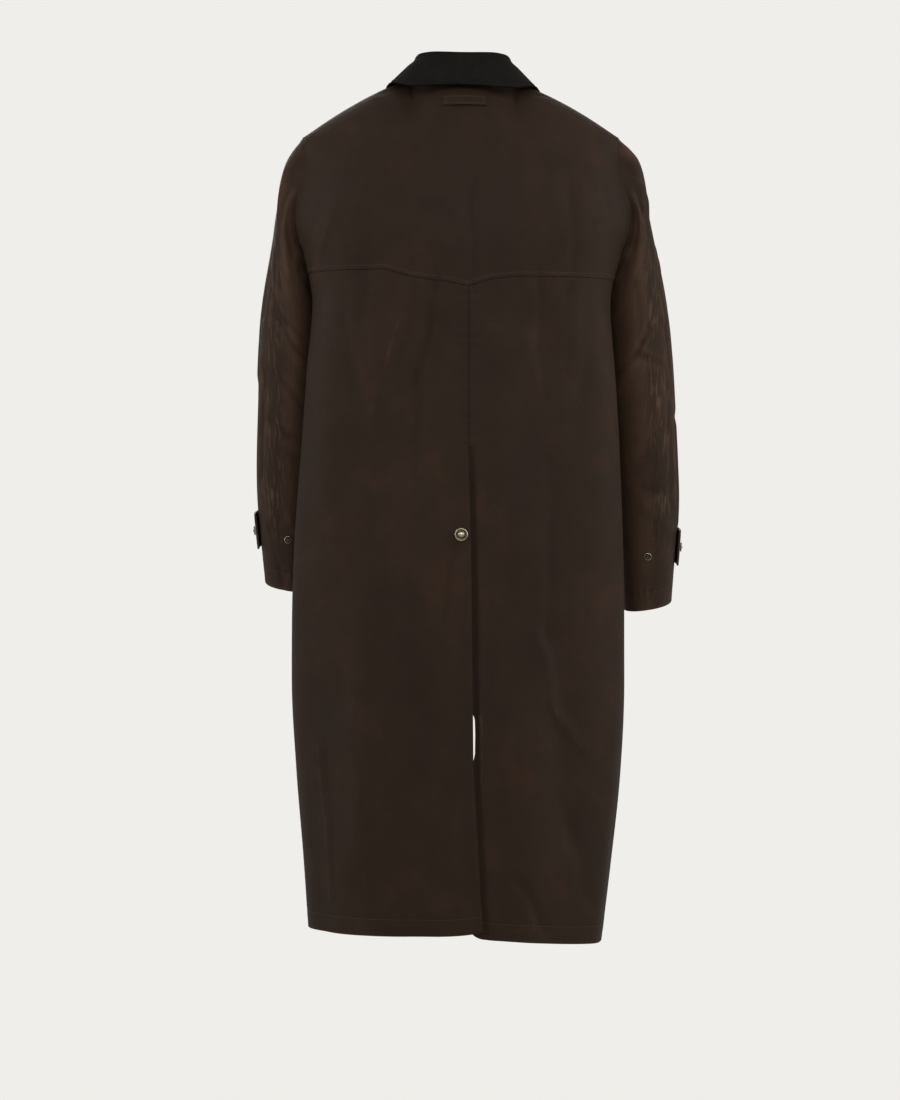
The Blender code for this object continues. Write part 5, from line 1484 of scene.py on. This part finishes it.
relief = groove(from_edge, LOOP_STITCH) + dip(from_edge, *LOOP_ROUNDING)
points = points + normals * relief[..., None]
wear_and_shade = 0.55 + edge_wear_and_shade(from_edge, 0.25, 0.0012)
loop = cloth_wall("locker_loop_cloth", points, normals, np.stack([x, level], axis=-1), wear_and_shade,
                  (cotton, cotton), wall=LOOP_WALL)
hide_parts("locker_loop")
lines = [2, -3] + [np.s_[1:-1, column] for column in (3, 5, -6, -4)]
sewn = stitching("stitching_loop", points, normals, lines, wall=LOOP_WALL, proud=0.5)
cloth_area(points)

# Cuff tabs
# A strap round the outer side of each cuff, sewn down at the front and snapped at the back,
# where it stands off the sleeve; topstitched all round.
TAB_WALL = 0.0024
# Its middle in rings down the sleeve, half its width, and its ends as angles round the sleeve
TAB_PLACE = 8.45
TAB_HALF_WIDTH = 0.0265
TAB_START = -75.0
TAB_END = 18.0
# The snapped end narrows by this share over its last degrees
TAB_NARROW = 0.16
TAB_NARROW_ANGLE = 9.0
# How far the tab stands off: the least, the added lift, and the share of its length before it
TAB_CLEAR = 0.0025
TAB_LIFT = 0.0040
TAB_FLAT_SHARE = 0.45
TAB_STITCH = 0.0045
TAB_ROUNDING = (0.0003, 0.0010)


def sleeve_normal(side, angle, place):
    """The sleeve's outward normal; at the seam it is the body's own."""
    angle, place = np.broadcast_arrays(np.asarray(angle, float), np.asarray(place, float))
    last = float(len(SLEEVE_ROWS) + 2)
    down = (sleeve(side, angle, np.minimum(place + 0.02, last))
            - sleeve(side, angle, np.maximum(place - 0.02, 0.0)))
    round_arm = sleeve(side, angle + 1.0, place) - sleeve(side, angle - 1.0, place)
    normal = unit(np.cross(round_arm, down)) * -side
    seam_normal = armhole_frame(side, angle)[1]
    share = smooth(1.0 - place)[..., None]
    return unit(normal * (1.0 - share) + seam_normal * share)


def tab_clear(angle):
    """How far the tab's middle stands off the sleeve: flat at first, then lifting."""
    share = (angle - TAB_START) / (TAB_END - TAB_START)
    return TAB_CLEAR + TAB_LIFT * smooth((share - TAB_FLAT_SHARE) / (1.0 - TAB_FLAT_SHARE))


for side, name, under in ((1, "cuff_tab_left", "sleeve_left"), (-1, "cuff_tab_right", "sleeve_right")):
    angle = np.linspace(TAB_START, TAB_END, 72)[None, :]
    before, after = math.floor(TAB_PLACE), math.floor(TAB_PLACE) + 1.0
    reach = TAB_HALF_WIDTH / np.linalg.norm(sleeve(side, 0.0, after) - sleeve(side, 0.0, before))
    end_share = np.clip((angle - TAB_END + TAB_NARROW_ANGLE) / TAB_NARROW_ANGLE, 0.0, 1.0)
    narrow = 1.0 - TAB_NARROW * end_share ** 3
    place = TAB_PLACE + np.linspace(-reach, reach, 40)[:, None] * narrow
    normals = sleeve_normal(side, angle, place)
    points = sleeve(side, angle, place) + normals * (tab_clear(angle) + 0.0 * place)[..., None]
    ends = np.minimum(edge_distance(points, 1, 0), edge_distance(points, 1, -1))
    sides = np.minimum(edge_distance(points, 0, 0), edge_distance(points, 0, -1))
    from_edge = np.minimum(ends, sides)
    relief = groove(from_edge, TAB_STITCH) + dip(from_edge, *TAB_ROUNDING)
    points = points + normals * relief[..., None]
    wear_and_shade = 0.52 + edge_wear_and_shade(from_edge, 0.35, 0.0016)
    along = edge_distance(points, 1, 0)
    tab = cloth_wall(name + "_cloth", points, normals, np.stack([along, place * 0.1], axis=-1), wear_and_shade,
                     (cotton, cotton), wall=TAB_WALL)
    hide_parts(name)
    low = nearest(edge_distance(points, 0, 0)[:, 36], TAB_STITCH)
    high = nearest(edge_distance(points, 0, -1)[:, 36], TAB_STITCH)
    near_end = nearest(edge_distance(points, 1, -1)[20], TAB_STITCH)
    lines = [np.s_[low, 3:near_end + 1], np.s_[high, 3:near_end + 1],
             np.s_[low:high + 1, near_end], np.s_[low:high + 1, 3]]
    sewn = stitching("stitching_" + name, points, normals, lines, wall=TAB_WALL, proud=0.5)
    cloth_area(points)

# Press snaps
# Antique metal caps with a plain design: a rolled rim, a ring of small beads and a smooth dome.
# One holds the vent, one each tab, and a row stands down the left front, with studs opposite.
# Gap under each piece, and the tab's bow under its cap
SNAP_CLEAR = 0.0005
TAB_BOW = 0.0004
VENT_SNAP_RADIUS = 0.0095
SNAP_RADIUS = 0.0070
STUD_RADIUS = 0.0055
FRONT_SNAP_LEVELS = (0.40, 0.52, 0.64, 0.76, 0.88, 1.00)
FRONT_SNAP_Q = 1.90
VENT_SNAP_X = 0.0031
VENT_SNAP_LEVEL = 0.575
CUFF_SNAP_ANGLE = 4.0
CUFF_STUD_ANGLE = 93.0
# Turned profiles as radius and height, in shares of the piece's radius, from the middle out and up
CAP_PROFILE = ((0.0, 0.0), (0.94, 0.0), (1.0, 0.05), (1.0, 0.15), (0.95, 0.24), (0.86, 0.27), (0.79, 0.24),
               (0.75, 0.17), (0.62, 0.15), (0.52, 0.17), (0.47, 0.24), (0.40, 0.33), (0.28, 0.40),
               (0.14, 0.435), (0.0, 0.445))
CAP_BEADS = 22
BEAD_RING = 0.635
BEAD_RADIUS = 0.062
BEAD_HEIGHT = 0.165
BEAD_PROFILE = ((1.0, -0.2), (0.95, 0.35), (0.7, 0.75), (0.35, 0.95), (0.0, 1.0))
STUD_PROFILE = ((0.0, 0.0), (0.94, 0.0), (1.0, 0.06), (1.0, 0.16), (0.93, 0.23), (0.80, 0.22), (0.68, 0.14),
                (0.50, 0.12), (0.44, 0.14), (0.42, 0.50), (0.46, 0.58), (0.44, 0.64), (0.34, 0.65),
                (0.28, 0.60), (0.20, 0.50), (0.0, 0.48))
TURNED_STEPS = 40
# The height, in radii, from which the metal is rubbed bright
BRIGHT_HEIGHT = 0.44


def antique_metal():
    """Old brass gone dark: bright on the rubbed high parts, nearly black in the hollows."""
    paint = Paint("antique_metal", Metallic=1.0)
    tarnish = paint.noise(700.0, 3.0)
    spots = paint.noise(180.0, 2.0)
    share = (paint.attribute("wear_and_shade") + (tarnish - 0.5) * 0.5).between(0.15, 0.85)
    dark = (0.026, 0.020, 0.014, 1.0)
    bright = (0.48, 0.41, 0.30, 1.0)
    brown = (0.10, 0.07, 0.045, 1.0)
    colour = paint.blend(share, dark, bright)
    colour = paint.blend(spots.between(0.58, 0.7) * 0.5, colour, brown)
    roughness = 0.52 - share * 0.24 + (tarnish - 0.5) * 0.2
    return paint.finish(Base_Color=colour, Roughness=roughness, Normal=paint.bump(tarnish, 0.00010))


metal = antique_metal()


def turned_points(profile, radius, steps=TURNED_STEPS):
    """Points and faces of a turned shape from a profile of (radius, height), in radii."""
    ring, height = np.array(profile).T * radius
    ring = np.maximum(ring, radius * 0.004)
    turn = np.linspace(0.0, 2.0 * PI, steps, endpoint=False)
    points = np.stack([ring[:, None] * np.cos(turn), ring[:, None] * np.sin(turn),
                       height[:, None] + 0.0 * turn], axis=-1)
    return points.reshape(-1, 3), quads(len(profile), steps, closed=True)


def bead_points(radius):
    """A ring of small half beads standing in the cap's channel."""
    one, faces = turned_points(BEAD_PROFILE, BEAD_RADIUS * radius, steps=8)
    turn = np.linspace(0.0, 2.0 * PI, CAP_BEADS, endpoint=False)
    place = np.stack([np.cos(turn) * BEAD_RING, np.sin(turn) * BEAD_RING, 0.0 * turn + BEAD_HEIGHT], axis=-1)
    points = one[None] + place[:, None] * radius
    numbers = faces[None] + (np.arange(CAP_BEADS) * len(one))[:, None, None]
    return points.reshape(-1, 3), numbers.reshape(-1, 4)


def snap_piece(name, node, profile, radius, point, normal, beads=False):
    """A turned metal piece on the cloth, with its higher parts marked as rubbed bright."""
    points, faces = turned_points(profile, radius)
    if beads:
        more, more_faces = bead_points(radius)
        faces = np.concatenate([faces, more_faces + len(points)])
        points = np.concatenate([points, more])
    high = np.clip(points[:, 2] / (radius * BRIGHT_HEIGHT), 0.0, 1.0) ** 2
    rim = bell(np.hypot(points[:, 0], points[:, 1]) / radius - 0.92, 0.08)
    high = high if beads else 0.1 * high
    # On the metal this value holds only rubbing: high where the dome and rim are rubbed bright.
    wear_and_shade = np.clip(0.15 + 0.75 * np.maximum(high, 0.9 * rim), 0.0, 1.0)
    normal = unit(np.asarray(normal, float))
    across = unit(np.cross(normal, (0.0, 0.0, 1.0)))
    turned = np.stack([across, np.cross(normal, across), normal], axis=1)
    item = mesh_object(name, points @ turned.T + point, faces)
    item.data.materials.append(metal)
    point_values(item, "wear_and_shade", wear_and_shade)
    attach(item, "root")
    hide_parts(node)
    return item


q = q_at(VENT_SNAP_X, VENT_SNAP_LEVEL)
normal = body_normal(q, VENT_SNAP_LEVEL)
point = body(q, VENT_SNAP_LEVEL) + normal * (CLOTH / 2.0 + SNAP_CLEAR)
snap_piece("vent_snap_cap", "vent_snap", CAP_PROFILE, VENT_SNAP_RADIUS, point, normal, beads=True)
for side, hand in ((1, "left"), (-1, "right")):
    normal = sleeve_normal(side, CUFF_SNAP_ANGLE, TAB_PLACE)
    lift = tab_clear(CUFF_SNAP_ANGLE) + TAB_BOW + TAB_WALL / 2.0 + SNAP_CLEAR
    point = sleeve(side, CUFF_SNAP_ANGLE, TAB_PLACE) + normal * lift
    snap_piece("cuff_snap_cap_" + hand, "cuff_snap_" + hand, CAP_PROFILE, SNAP_RADIUS, point, normal,
               beads=True)
    normal = sleeve_normal(side, CUFF_STUD_ANGLE, TAB_PLACE)
    point = sleeve(side, CUFF_STUD_ANGLE, TAB_PLACE) + normal * (CLOTH / 2.0 + SNAP_CLEAR)
    snap_piece("cuff_stud_piece_" + hand, "cuff_stud_" + hand, STUD_PROFILE, STUD_RADIUS, point, normal)
for number, level in enumerate(FRONT_SNAP_LEVELS, start=1):
    for sign, node, profile, size in ((1, "front_snap_%d" % number, CAP_PROFILE, SNAP_RADIUS),
                                      (-1, "front_stud_%d" % number, STUD_PROFILE, STUD_RADIUS)):
        normal = body_normal(sign * FRONT_SNAP_Q, level)
        point = body(sign * FRONT_SNAP_Q, level) + normal * (CLOTH / 2.0 + SNAP_CLEAR)
        snap_piece(node + "_metal", node, profile, size, point, normal, beads=sign > 0)
